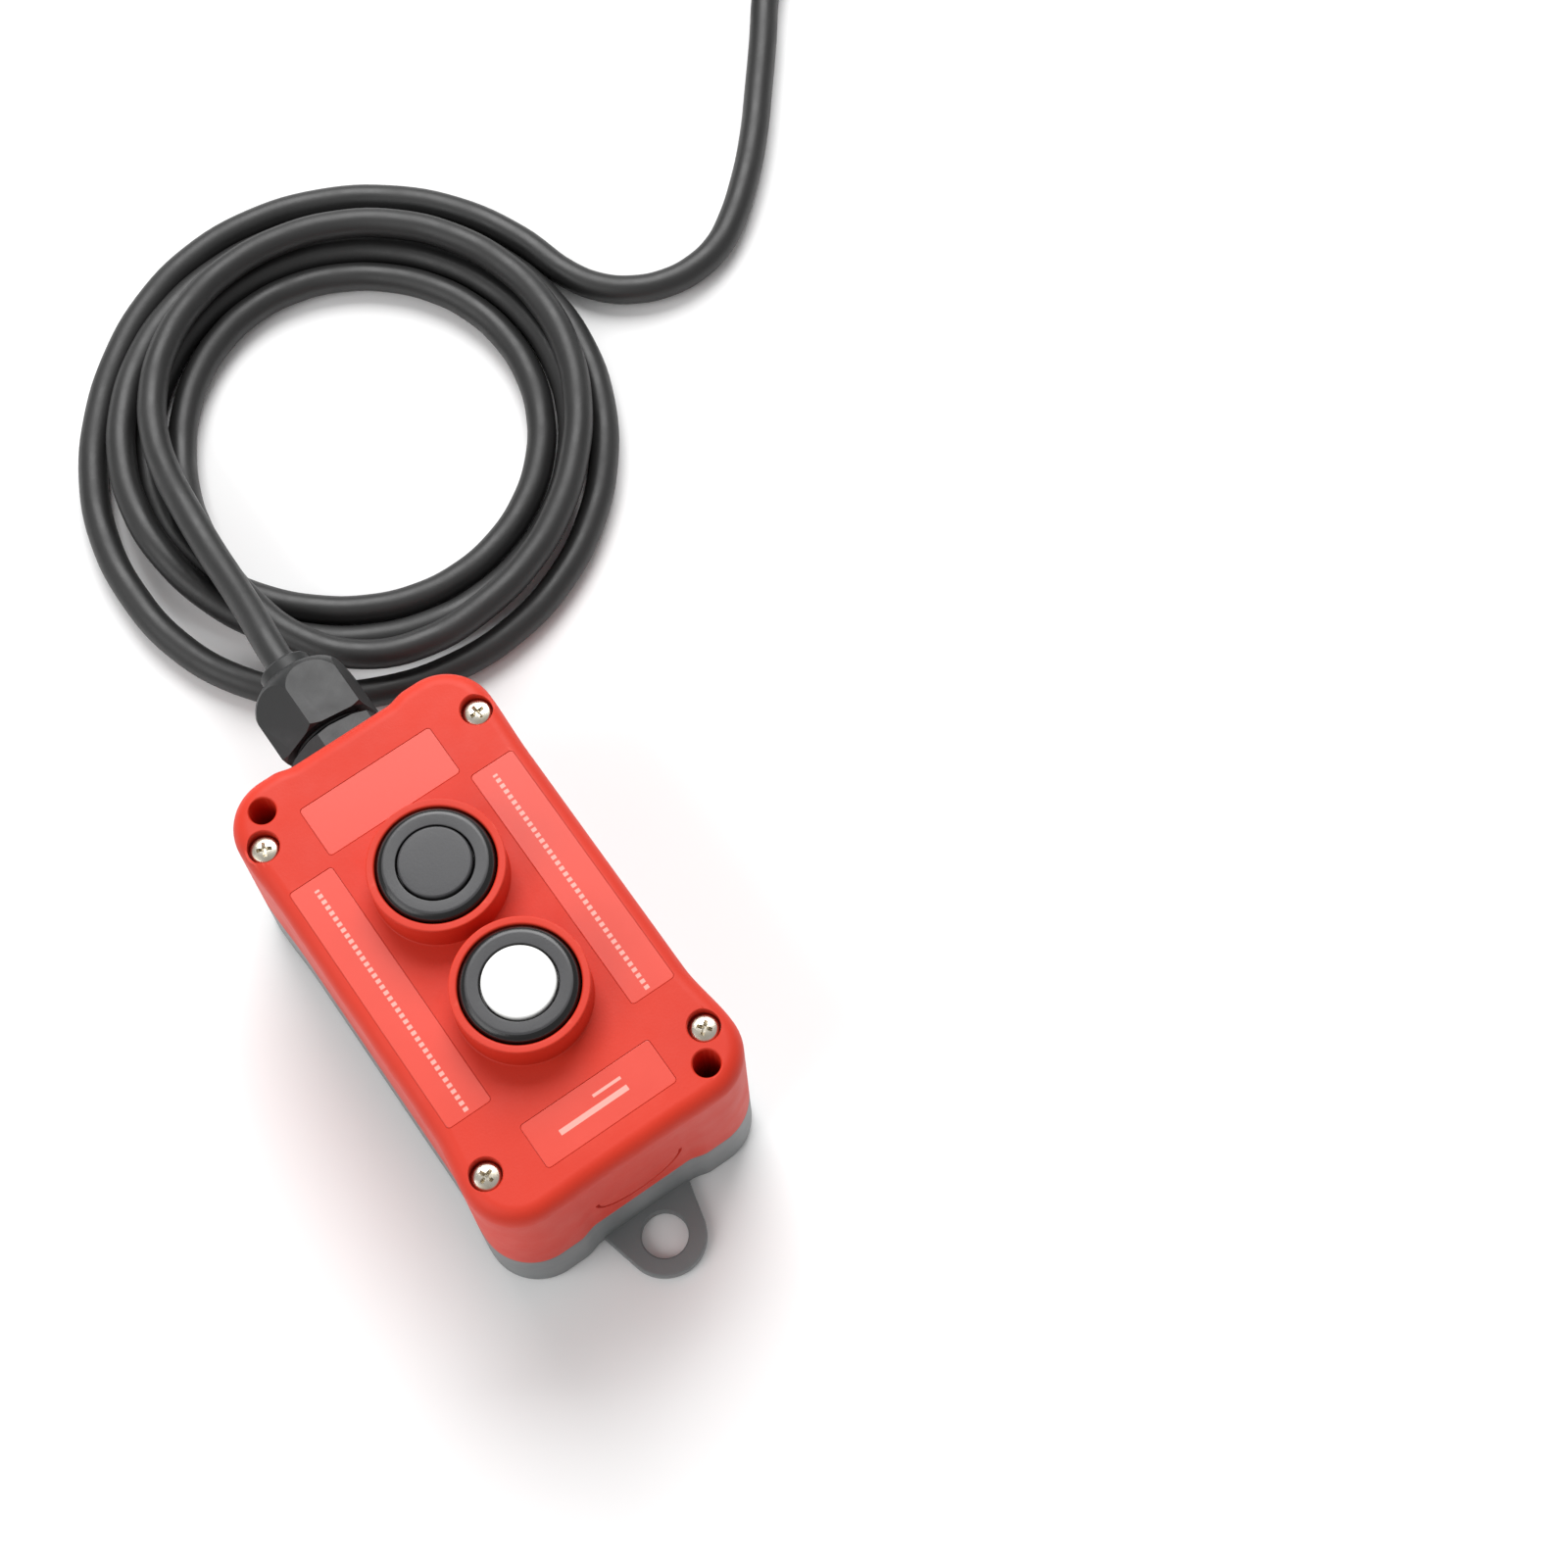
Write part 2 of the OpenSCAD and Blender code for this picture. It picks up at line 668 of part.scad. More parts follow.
module push_stem(y) {
    top = case_h + cap_top - 2.4;
    color(ivory) at_button(y) translate([0, 0, pusher_top]) cylinder(r = stem_r, h = top - pusher_top);
}

module return_spring(y) {
    color(nickel) at_button(y) translate([0, 0, shelf_top])
        coil_spring(spring_r, spring_wire, cap_flange_top - cap_flange_t - shelf_top, 4);
}

// ---- Contact blocks ----

// Housing with a terminal tray below, a cavity for the bridge and a guide for the pusher
module contact_block(y) {
    color(ivory) at_button(y) difference() {
        union() {
            block_at([block_w, block_l, block_h], [0, 0, block_z]);
            block_at([tray_w, block_l - 4, tray_h], [0, 0, block_z]);
        }
        block_at([cavity_w, cavity_l, block_h - 3.5], [0, 0, block_z + 1.5]);
        block_at([tray_w + 2, strip_w, strip_t], [0, 0, strip_z]);
        translate([0, 0, block_top - 3]) cylinder(r = pusher_r + slide_gap, h = 4);
        for (s = [-1, 1]) translate([s*terminal_x, 0, block_z + 1]) cylinder(r = 1.25, h = tray_h);
    }
}

// Pair of terminal strips, each with a rivet where the bridge lands
module fixed_contacts(y) {
    color(brass) at_button(y) for (s = [-1, 1]) difference() {
        translate([s > 0 ? contact_x : -tray_w/2 + 0.2, -strip_w/2, strip_z])
            cube([tray_w/2 - 0.2 - contact_x, strip_w, strip_t]);
        translate([s*terminal_x, 0, strip_z - 1]) cylinder(r = 1.3, h = 4);
    }
}

module terminal_screws(y) {
    color(nickel) at_button(y) for (s = [-1, 1]) translate([s*terminal_x, 0, strip_z + strip_t]) difference() {
        union() {
            cylinder(r = 2.2, h = 1.8);
            translate([0, 0, -3.7]) cylinder(r = 1.25, h = 3.7 + eps);
        }
        block_at([5, 0.7, 1], [0, 0, 1]);
    }
}

// Pusher with a shoulder over the bridge
module pusher(y) {
    color("#f4f4f0") at_button(y) {
        translate([0, 0, bridge_z + bridge_t]) cylinder(r = pusher_r, h = pusher_top - bridge_z - bridge_t);
        translate([0, 0, bridge_z + bridge_t]) cylinder(r = 3.4, h = 1.6);
        translate([0, 0, bridge_z - 0.6]) cylinder(r = 1.2, h = 2);
    }
}

// Moving bridge that joins the two strips when the button is pressed
module bridge(y) {
    color(brass) at_button(y) difference() {
        block_at([15, 4.4, bridge_t], [0, 0, bridge_z]);
        translate([0, 0, bridge_z - 1]) cylinder(r = 1.2, h = 3);
    }
}

module block_spring(y) {
    color(nickel) at_button(y) translate([0, 0, block_z + 1.5])
        coil_spring(2, 0.5, bridge_z - block_z - 1.5, 4);
}

// Plate on the base's posts that carries both contact blocks
module contact_carrier() {
    color("#c8b48c") at_case() difference() {
        block_at([carrier_w, carrier_l, carrier_t], [0, 0, carrier_z]);
        for (s = [-1, 1]) translate([0, s*carrier_screw_y, carrier_z - 1])
            cylinder(r = carrier_screw_r + 0.2, h = carrier_t + 2);
    }
}

module carrier_screws() {
    color(nickel) at_case() for (s = [-1, 1]) translate([0, s*carrier_screw_y, carrier_z + carrier_t]) difference() {
        union() {
            cylinder(r = 2.8, h = 1.8);
            translate([0, 0, -11]) cylinder(r = carrier_screw_r, h = 11 + eps);
        }
        block_at([6, 0.7, 1], [0, 0, 1]);
    }
}

// ---- Cable ----

module core(route, tint) {
    color(tint) at_case() bar(route, core_d/2, 8, 3);
}

// The stretch of cable held in the gland
module cable_inlet() {
    color(rubber) at_case() at_entry(cores_y) cylinder(r = cable_r, h = gland_end - cores_y);
}

module cable_lead() {
    color(rubber) bar(lead_route, cable_r, 10);
}

module cable_run() {
    color(rubber) bar(run_route, cable_r, 10);
}

// The outer shape of a round coil, with rounded edges
module round_coil(r, w, h, soft) {
    rotate_extrude($fn = 96) translate([r - w/2, 0]) polygon(concat(
        [for (a = [180:30:270]) [soft + soft*cos(a), soft + soft*sin(a)]],
        [for (a = [270:30:360]) [w - soft + soft*cos(a), soft + soft*sin(a)]],
        [for (a = [0:30:90]) [w - soft + soft*cos(a), h - soft + soft*sin(a)]],
        [for (a = [90:30:180]) [soft + soft*cos(a), h - soft + soft*sin(a)]]));
}

module cable_coil() {
    color(rubber) translate(coil_at) round_coil(coil_r, coil_w, coil_h, 3);
}

module stored_coil() {
    color(rubber) translate([store_at[0], store_at[1], store_lift]) round_coil(store_r, store_w, store_h, 3);
}

// Strap round one place of the stored coil; its inner side clears the ring's curve
module coil_tie() {
    ring_in = store_r - store_w/2;
    side_in = sqrt(ring_in*ring_in - tie_w*tie_w/4) - 0.1;
    inner = [store_r + store_w/2 + 0.1 - side_in, store_h + 0.1];
    color("#3a3a3c") translate(store_at) rotate([0, 0, 20]) translate([side_in, tie_w/2, 0])
        rotate([90, 0, 0]) linear_extrude(tie_w) difference() {
            translate([-tie_t, 0]) square([inner[0] + 2*tie_t, inner[1] + 2*tie_t]);
            translate([0, tie_t]) square(inner);
        }
}

// Straight end of the cable between the stored coil and the plug
module cable_tail() {
    color(rubber) bar([
        concat(tail_start, tail_z), concat(tail_start + 0.5*tail_l*tail_dir, tail_z + 0.1),
        concat(plug_at, plug_r)
    ], cable_r, 10, 3);
}

module at_plug(along) {
    translate([plug_at[0] + along*tail_dir[0], plug_at[1] + along*tail_dir[1], plug_r])
        rotate([0, 0, plug_angle]) rotate([0, 90, 0]) children();
}

// Moulded body with a tapered strain relief and a pocket for the insert
module plug_body() {
    color(rubber) at_plug(0) difference() {
        rotate_extrude() polygon([
            [0, 0], [cable_r + 1.2, 0], [cable_r + 3, relief_l], [plug_r - 1.5, relief_l + 3],
            [plug_r, relief_l + 6], [plug_r, plug_l], [0, plug_l]]);
        translate([0, 0, plug_l - insert_t]) cylinder(r = insert_disc_r, h = insert_t + 1);
    }
}

// Hard disc that holds the pins
module plug_insert() {
    color(black) at_plug(plug_l - insert_t) difference() {
        cylinder(r = insert_disc_r - 0.05, h = insert_t + 0.6);
        at_pins() translate([0, 0, -1]) cylinder(r = pin_r, h = insert_t + 3);
    }
}

module at_pins() {
    for (a = [0:120:240]) rotate([0, 0, a]) translate([5.2, 0, 0]) children();
}

module plug_pins() {
    color(brass) at_plug(plug_l - insert_t) at_pins() {
        cylinder(r = pin_r, h = insert_t + pin_l);
        translate([0, 0, insert_t + pin_l]) cylinder(r1 = pin_r, r2 = pin_r - 0.6, h = 0.8);
    }
}

cover();
base();
hanging_lug();
cover_gasket();
cover_screws();
base_inserts();
case_label(side_label, -side_label_x, 0);  // label_left
case_label(side_label, side_label_x, 0);  // label_right
case_label(top_label, 0, top_label_y);  // label_top
case_label(bottom_label, 0, bottom_label_y);  // label_bottom
gland_body();
gland_washer();
gland_lock_nut();
gland_seal();
gland_claw();
gland_cap();
bezel(upper_y);  // upper_bezel
barrel(upper_y);  // upper_barrel
panel_seal(upper_y);  // upper_panel_seal
back_nut(upper_y);  // upper_back_nut
push_cap(upper_y, "#66686a");  // upper_cap
push_stem(upper_y);  // upper_stem
return_spring(upper_y);  // upper_spring
bezel(lower_y);  // lower_bezel
barrel(lower_y);  // lower_barrel
panel_seal(lower_y);  // lower_panel_seal
back_nut(lower_y);  // lower_back_nut
push_cap(lower_y, "#fafafa");  // lower_cap
push_stem(lower_y);  // lower_stem
return_spring(lower_y);  // lower_spring
contact_block(upper_y);  // upper_block
fixed_contacts(upper_y);  // upper_fixed_contacts
terminal_screws(upper_y);  // upper_terminal_screws
pusher(upper_y);  // upper_pusher
bridge(upper_y);  // upper_bridge
block_spring(upper_y);  // upper_block_spring
contact_block(lower_y);  // lower_block
fixed_contacts(lower_y);  // lower_fixed_contacts
terminal_screws(lower_y);  // lower_terminal_screws
pusher(lower_y);  // lower_pusher
bridge(lower_y);  // lower_bridge
block_spring(lower_y);  // lower_block_spring
contact_carrier();
carrier_screws();
core(common_route, "#6b4a2a");  // core_common
core(link_route, "#6b4a2a");  // core_link
core(up_route, "#202022");  // core_up
core(down_route, "#8a8d90");  // core_down
cable_inlet();
cable_lead();
cable_coil();
cable_run();
stored_coil();
coil_tie();
cable_tail();
plug_body();
plug_insert();
plug_pins();
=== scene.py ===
import math
import bpy
import bmesh
from mathutils import Matrix, Vector


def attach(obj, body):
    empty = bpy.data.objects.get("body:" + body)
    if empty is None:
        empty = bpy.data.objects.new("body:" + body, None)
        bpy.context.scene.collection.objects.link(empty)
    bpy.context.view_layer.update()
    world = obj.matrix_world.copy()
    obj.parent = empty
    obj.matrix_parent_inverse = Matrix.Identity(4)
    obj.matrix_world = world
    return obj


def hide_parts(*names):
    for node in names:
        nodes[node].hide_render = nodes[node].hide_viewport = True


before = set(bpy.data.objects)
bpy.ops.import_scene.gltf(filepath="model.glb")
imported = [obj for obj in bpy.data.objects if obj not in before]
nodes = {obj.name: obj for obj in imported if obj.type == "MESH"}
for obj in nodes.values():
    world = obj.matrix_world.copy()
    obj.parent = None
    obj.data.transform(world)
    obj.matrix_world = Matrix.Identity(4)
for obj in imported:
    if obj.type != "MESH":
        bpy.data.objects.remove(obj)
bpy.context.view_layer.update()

# ---- Camera ----
# A long lens looks down on the station from its lug end, so the face is seen almost in plan with a
# little of the lug-end wall and of the right-hand side.
camera_data = bpy.data.cameras.new("camera")
camera_data.sensor_width = 36
camera_data.lens = 73.64
camera_data.shift_x = -0.0119
camera_data.shift_y = -0.0699
camera_data.clip_start = 0.01
camera = bpy.data.objects.new("camera", camera_data)
camera_turn, camera_tilt, camera_roll = math.radians(-32.99), math.radians(22.43), math.radians(-2.39)
camera.matrix_world = (
    Matrix.Translation((-0.0561, -0.22325, 0.7084))
    @ Matrix.Rotation(camera_turn, 4, "Z")
    @ Matrix.Rotation(camera_tilt, 4, "X")
    @ Matrix.Rotation(camera_roll, 4, "Z")
)
bpy.context.scene.collection.objects.link(camera)
bpy.context.scene.camera = camera

# ---- Cable ----
# Round three-core control cable: PVC sheath extruded over the cores, 7.2 mm thick. It leaves the gland,
# lies in a loose coil of almost four and a half turns, and its spare length is wound and tied beside it.
mm = 0.001
cable_d = 7.2
entry_z = 34.0
gland_end = 80.55
lead = [
    (0, gland_end, entry_z), (0.2, 85.5, 33.3), (0.6, 90.5, 32.2), (1.4, 99, 29.5), (2, 108, 26.5),
    (2.6, 121.4, 23),
]
coil_centre = (48.5, 136.5)
on_floor = cable_d/2 + 0.1
on_turns = 10.9
# Angle, radius and height of the strand as it goes clockwise round the coil
loose_turns = [
    (180, 44.7, 20), (158, 45.1, 15), (147, 47.2, 13), (135, 49, 11.5), (118, 51.5, 11.1),
    (90, 54.4, on_turns),
    (45, 56.9, on_turns), (0, 57, on_turns), (-45, 56.2, on_turns), (-90, 59.8, on_turns),
    (-106, 61.6, on_turns),
    (-121, 60.8, on_turns), (-136, 56.4, 11), (-152, 50.4, 11), (-168, 46, 10.5), (-186, 43, 8),
    (-205, 41.8, 4.5),
    (-225, 42.2, on_floor), (-270, 44.9, on_floor), (-315, 45.2, on_floor), (-360, 46, on_floor),
    (-405, 46.7, on_floor), (-450, 46.9, on_floor), (-495, 46.4, on_floor), (-540, 49.5, on_floor),
    (-585, 50.4, on_floor), (-630, 52.2, on_floor), (-675, 52.7, on_floor), (-720, 53.4, on_floor),
    (-765, 54.3, on_floor), (-810, 54.6, on_floor), (-855, 53.9, on_floor), (-870, 53.6, on_floor + 0.2),
    (-900, 54.6, 8.9), (-945, 56.5, 7.6), (-990, 59.5, on_floor), (-1035, 59.9, on_floor),
    (-1080, 60.7, on_floor),
    (-1125, 62.6, on_floor), (-1170, 66.5, on_floor), (-1215, 68.6, on_floor), (-1240, 67.4, on_floor),
    (-1260, 65.4, on_floor),
    (-1305, 63.4, on_floor), (-1350, 66.8, on_floor), (-1395, 67.8, on_floor), (-1420, 67.9, on_floor),
]
run = [
    (117.1, 143.4, 3.7), (121.4, 136.1, 3.7), (127.8, 130.6, 3.7), (135.6, 127.3, 3.7), (144, 126.6, 3.7),
    (152.2, 128.5, 3.7), (158.7, 132.2, 3.7), (168.6, 140.3, 3.7), (178, 149.8, 3.7), (187, 160.5, 3.7),
    (196, 171.5, 3.7), (205, 183, 3.8),
    (216, 194.5, 4), (228, 206, 4.2),
]
store_centre = (209, 249)
store_floor = 4.4
store_top = 11.6
stored_turns = [
    (-45.5, 43.6, store_floor), (100, 43.6, store_floor), (215, 43.6, store_floor),
    (318, 36.4, store_floor),
    (440, 36.4, store_floor), (570, 36.4, store_floor), (625, 38.5, store_top), (660, 40, store_top),
    (780, 40, store_top),
]
turn_step = 15
plug_angle = math.radians(150)
plug_dir = Vector((math.cos(plug_angle), math.sin(plug_angle), 0))
tail_angle = math.radians(60)
tail_start = Vector((
    store_centre[0] + stored_turns[-1][1]*math.cos(tail_angle),
    store_centre[1] + stored_turns[-1][1]*math.sin(tail_angle),
    store_top))
tail_l = 36
plug_r = 12


def key_slope(keys, i, k):
    a, b = keys[max(i - 1, 0)], keys[min(i + 1, len(keys) - 1)]
    return (b[k] - a[k])/(b[0] - a[0])


def along_turns(keys, centre, step):
    """Points round a coil, smooth between keys of (angle, radius, height)."""
    count = math.ceil(abs(keys[-1][0] - keys[0][0])/step)
    points = []
    for n in range(count + 1):
        angle = keys[0][0] + (keys[-1][0] - keys[0][0])*n/count
        i = 0
        while i < len(keys) - 2 and (angle - keys[i + 1][0])*(keys[-1][0] - keys[0][0]) > 0:
            i += 1
        a, b = keys[i], keys[i + 1]
        span = b[0] - a[0]
        t = (angle - a[0])/span
        value = []
        for k in (1, 2):
            m0, m1 = key_slope(keys, i, k)*span, key_slope(keys, i + 1, k)*span
            value.append(
                (2*t**3 - 3*t**2 + 1)*a[k] + (t**3 - 2*t**2 + t)*m0
                + (3*t**2 - 2*t**3)*b[k] + (t**3 - t**2)*m1)
        turned = math.radians(angle)
        points.append((
            centre[0] + value[0]*math.cos(turned), centre[1] + value[0]*math.sin(turned),
            max(value[1], cable_d/2 + 0.05)))
    return points


def linear(code):
    """An sRGB hex colour as the linear values that a shader takes."""
    parts = [int(code[i:i + 2], 16)/255 for i in (1, 3, 5)]
    return [c/12.92 if c <= 0.04045 else ((c + 0.055)/1.055)**2.4 for c in parts] + [1]


def add(tree, kind, inputs=None, **settings):
    made = tree.nodes.new("ShaderNode" + kind)
    for name, value in settings.items():
        setattr(made, name, value)
    for name, value in (inputs or {}).items():
        if isinstance(value, bpy.types.NodeSocket):
            tree.links.new(value, made.inputs[name])
        else:
            made.inputs[name].default_value = value
    return made


def ramp(tree, factor, stops):
    made = add(tree, "ValToRGB", {"Fac": factor})
    while len(made.color_ramp.elements) < len(stops):
        made.color_ramp.elements.new(0.5)
    for element, (place, value) in zip(made.color_ramp.elements, stops):
        element.position = place
        element.color = linear(value) if isinstance(value, str) else (value, value, value, 1)
    return made.outputs["Color"]


def new_material(name, metallic=0, ior=1.5, coat=0, coat_roughness=0.1, specular=0.5):
    material = bpy.data.materials.new(name)
    material.use_nodes = True
    tree = material.node_tree
    shader = tree.nodes["Principled BSDF"]
    shader.inputs["Metallic"].default_value = metallic
    if not metallic:
        shader.inputs["IOR"].default_value = ior
    shader.inputs["Coat Weight"].default_value = coat
    shader.inputs["Coat Roughness"].default_value = coat_roughness
    shader.inputs["Specular IOR Level"].default_value = specular
    return material, tree, shader


def moulded(name, tone, tone_low, rough, grain_mm, grain_depth_mm, tone_edge=None, **kinds):
    """A moulded polymer: slow drift of tone and gloss, spark grain as bump, edges rubbed paler."""
    material, tree, shader = new_material(name, **kinds)
    place = add(tree, "TexCoord").outputs["Object"]
    drift = add(tree, "TexNoise", {"Vector": place, "Scale": 1/(38*mm), "Detail": 3, "Roughness": 0.55})
    colour = ramp(tree, drift.outputs["Fac"], [(0.3, tone_low), (0.7, tone)])
    if tone_edge:
        edge = add(tree, "NewGeometry").outputs["Pointiness"]
        scuff = add(tree, "TexNoise", {"Vector": place, "Scale": 1/(1.8*mm), "Detail": 2})
        worn = add(tree, "MapRange",
            {"Value": edge, "From Min": 0.53, "From Max": 0.62, "To Min": 0, "To Max": 0.55})
        some = add(tree, "Math", {0: worn.outputs["Result"], 1: scuff.outputs["Fac"]}, operation="MULTIPLY")
        blend = add(tree, "Mix", {0: some.outputs[0], 6: colour, 7: linear(tone_edge)}, data_type="RGBA")
        colour = blend.outputs[2]
    tree.links.new(colour, shader.inputs["Base Color"])
    handled = add(tree, "TexNoise", {"Vector": place, "Scale": 1/(9*mm), "Detail": 4, "Roughness": 0.6})
    gloss = add(tree, "MapRange", {
        "Value": handled.outputs["Fac"], "From Min": 0.3, "From Max": 0.7, "To Min": rough[0],
            "To Max": rough[1]})
    tree.links.new(gloss.outputs["Result"], shader.inputs["Roughness"])
    grain = add(tree, "TexNoise",
        {"Vector": place, "Scale": 1/(grain_mm*mm), "Detail": 2, "Roughness": 0.6})
    bump = add(tree, "Bump",
        {"Height": grain.outputs["Fac"], "Distance": grain_depth_mm*mm, "Strength": 0.6})
    tree.links.new(bump.outputs["Normal"], shader.inputs["Normal"])
    return material


def dress(names, material):
    for name in names:
        mesh = nodes[name].data
        if not mesh.materials:
            mesh.materials.append(material)
        for i in range(len(mesh.materials)):
            mesh.materials[i] = material


# PVC sheath, extruded: semi-matt charcoal with a faint orange-peel and a slow random drift of tone
sheath_pvc = moulded("pvc_extruded_sheath", "#272727", "#202020", (0.4, 0.54), 1.1, 0.05, None, ior=1.53)

route = [Vector(p) for p in lead]
route += [Vector(p) for p in along_turns(loose_turns, coil_centre, turn_step)]
route += [Vector(p) for p in run]
route += [Vector(p) for p in along_turns(stored_turns, store_centre, turn_step)]
route += [tail_start + plug_dir*(tail_l*t) + Vector((0, 0, 0.4*t)) for t in (0.35, 0.7, 1, 1.1)]
sheath_curve = bpy.data.curves.new("cable_sheath", "CURVE")
sheath_curve.dimensions = "3D"
sheath_curve.bevel_depth = cable_d*mm/2
sheath_curve.bevel_resolution = 6
sheath_curve.resolution_u = 6
sheath_curve.use_fill_caps = True
strand = sheath_curve.splines.new("BEZIER")
strand.bezier_points.add(len(route) - 1)
for point, spot in zip(strand.bezier_points, route):
    point.co = spot*mm
    point.handle_left_type = "AUTO"
    point.handle_right_type = "AUTO"
sheath_curve.materials.append(sheath_pvc)
cable = bpy.data.objects.new("cable", sheath_curve)
bpy.context.scene.collection.objects.link(cable)
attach(cable, "station")
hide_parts("cable_lead", "cable_coil", "cable_run", "stored_coil", "cable_tail")
dress(["cable_inlet"], sheath_pvc)


# ---- Plug ----
# Moulded-on connector: soft PVC body with a ribbed strain relief, a hard disc and three turned pins.
def solid(name, points, faces, material, place=Matrix.Identity(4)):
    """A closed mesh piece from points in millimetres."""
    mesh = bpy.data.meshes.new(name)
    mesh.from_pydata([(place @ Vector(p))*mm for p in points], [], faces)
    if material:
        mesh.materials.append(material)
    piece = bpy.data.objects.new(name, mesh)
    bpy.context.scene.collection.objects.link(piece)
    work = bmesh.new()
    work.from_mesh(mesh)
    bmesh.ops.remove_doubles(work, verts=work.verts, dist=1e-6)
    bmesh.ops.recalc_face_normals(work, faces=work.faces)
    work.to_mesh(mesh)
    work.free()
    return piece


def lathe(name, profile, material=None, place=Matrix.Identity(4), steps=96):
    """A turned solid from a closed profile of (radius, height)."""
    points, rows = [], []
    for r, z in profile:
        if r < 1e-6:
            rows.append([len(points)]*steps)
            points.append((0, 0, z))
        else:
            rows.append(list(range(len(points), len(points) + steps)))
            points += [(r*math.cos(2*math.pi*i/steps), r*math.sin(2*math.pi*i/steps), z)
                for i in range(steps)]
    faces = []
    for a, b in zip(rows, rows[1:] + rows[:1]):
        if a[0] == a[1] and b[0] == b[1]:
            continue
        for i in range(steps):
            j = (i + 1) % steps
            corners = [a[i], a[j], b[j], b[i]]
            faces.append([c for n, c in enumerate(corners) if c not in corners[:n]])
    return solid(name, points, faces, material, place)


def arc(centre, radius, start, end, steps=6):
    """Points on a round corner, in degrees."""
    return [(centre[0] + radius*math.cos(math.radians(start + (end - start)*i/steps)),
             centre[1] + radius*math.sin(math.radians(start + (end - start)*i/steps)))
             for i in range(steps + 1)]


def polish(piece, sharp=35):
    """Smooth shading that breaks at corners, with large flat faces kept flat."""
    for face in piece.data.polygons:
        face.use_smooth = True
    piece.data.set_sharp_from_angle(angle=math.radians(sharp))
    flat = piece.modifiers.new("flat_faces", "WEIGHTED_NORMAL")
    flat.keep_sharp = True


plug_at = tail_start + plug_dir*tail_l
plug_at.z = plug_r
plug_place = Matrix.Translation(plug_at) @ Matrix.Rotation(plug_angle, 4,
    "Z") @ Matrix.Rotation(math.radians(90), 4, "Y")
relief_l, plug_l, insert_t, insert_disc_r = 22, 50, 4, 10
relief_mouth = [(cable_d/2 + 0.05, 1), (cable_d/2 + 0.4, 0), (cable_d/2 + 1.2, 0.3)]
relief_ribs = []
for n in range(5):
    z, r = 2 + 3.8*n, 4.9 + 0.42*n
    relief_ribs += [(r, z), (r, z + 2.2), (r - 0.9, z + 2.5), (r - 0.9, z + 3.5)]
plug_profile = (
    [(0, 6), (cable_d/2 + 0.05, 6)] + relief_mouth + relief_ribs
    + [(6.6, relief_l)] + arc((6.6, relief_l + 6), 5.4, -80, 0, 7)
    + [(12, plug_l - 10), (11.2, plug_l - 9.4), (11.2, plug_l - 3)]
    + arc((11.2 - 0.6, plug_l - 0.6), 0.6, 0, 90, 3)
    + [(insert_disc_r, plug_l), (insert_disc_r, plug_l - insert_t), (0, plug_l - insert_t)])
# Soft PVC, moulded over the terminals: darker and glossier than the sheath
plug_pvc = moulded("pvc_moulded_plug", "#2c2d2f", "#232425", (0.34, 0.46), 0.7, 0.03, "#4a4b4d", ior=1.53)
plug = lathe("plug_shell", plug_profile, plug_pvc, plug_place, 72)
polish(plug)
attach(plug, "station")
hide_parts("plug_body")
# PA66, moulded: black, satin
nylon_black = moulded("pa66_moulded_black", "#27282a", "#1e1f20", (0.36, 0.5), 0.5, 0.03, "#48494b",
    ior=1.53)
dress(["plug_insert"], nylon_black)


def plated(name, tone, tone_low, rough, line_mm):
    """Plated metal: tone drifts with the plating's thickness, with fine turning marks and handling haze."""
    material, tree, shader = new_material(name, metallic=1)
    place = add(tree, "TexCoord").outputs["Object"]
    drift = add(tree, "TexNoise", {"Vector": place, "Scale": 1/(3*mm), "Detail": 4})
    tree.links.new(ramp(tree, drift.outputs["Fac"], [(0.3, tone_low), (0.65, tone)]),
        shader.inputs["Base Color"])
    gloss = add(tree, "MapRange", {
        "Value": drift.outputs["Fac"], "From Min": 0.3, "From Max": 0.7, "To Min": rough[1],
            "To Max": rough[0]})
    tree.links.new(gloss.outputs["Result"], shader.inputs["Roughness"])
    marks = add(tree, "TexNoise", {"Vector": place, "Scale": 1/(line_mm*mm), "Detail": 1})
    bump = add(tree, "Bump", {"Height": marks.outputs["Fac"], "Distance": 0.01*mm, "Strength": 0.5})
    tree.links.new(bump.outputs["Normal"], shader.inputs["Normal"])
    return material


# Brass, turned: warm yellow with a light haze of tarnish
brass_turned = plated("brass_turned", "#d8b765", "#b98f42", (0.2, 0.38), 0.25)
dress(["plug_pins"], brass_turned)

# Tie round the stored turns: woven polyester strap, ribbed across, closed with a lap
# Woven polyester: dark, matt, with the weft's ribs
tie_weave, tree, shader = new_material("polyester_woven_strap", ior=1.5)
place = add(tree, "TexCoord").outputs["Object"]
weft = add(tree, "TexWave", {"Vector": place, "Scale": 1/(2.2*mm)*0.16, "Distortion": 0.4, "Detail": 1},
    bands_direction="Z")
lint = add(tree, "TexNoise", {"Vector": place, "Scale": 1/(0.5*mm), "Detail": 3})
tone = add(tree, "Mix", {0: lint.outputs["Fac"], 6: linear("#1d1e20"), 7: linear("#393a3d")},
    data_type="RGBA")
tree.links.new(tone.outputs[2], shader.inputs["Base Color"])
shader.inputs["Roughness"].default_value = 0.85
shader.inputs["Sheen Weight"].default_value = 0.3
ribs = add(tree, "Bump", {"Height": weft.outputs["Fac"], "Distance": 0.15*mm, "Strength": 0.8})
tree.links.new(ribs.outputs["Normal"], shader.inputs["Normal"])
dress(["coil_tie"], tie_weave)

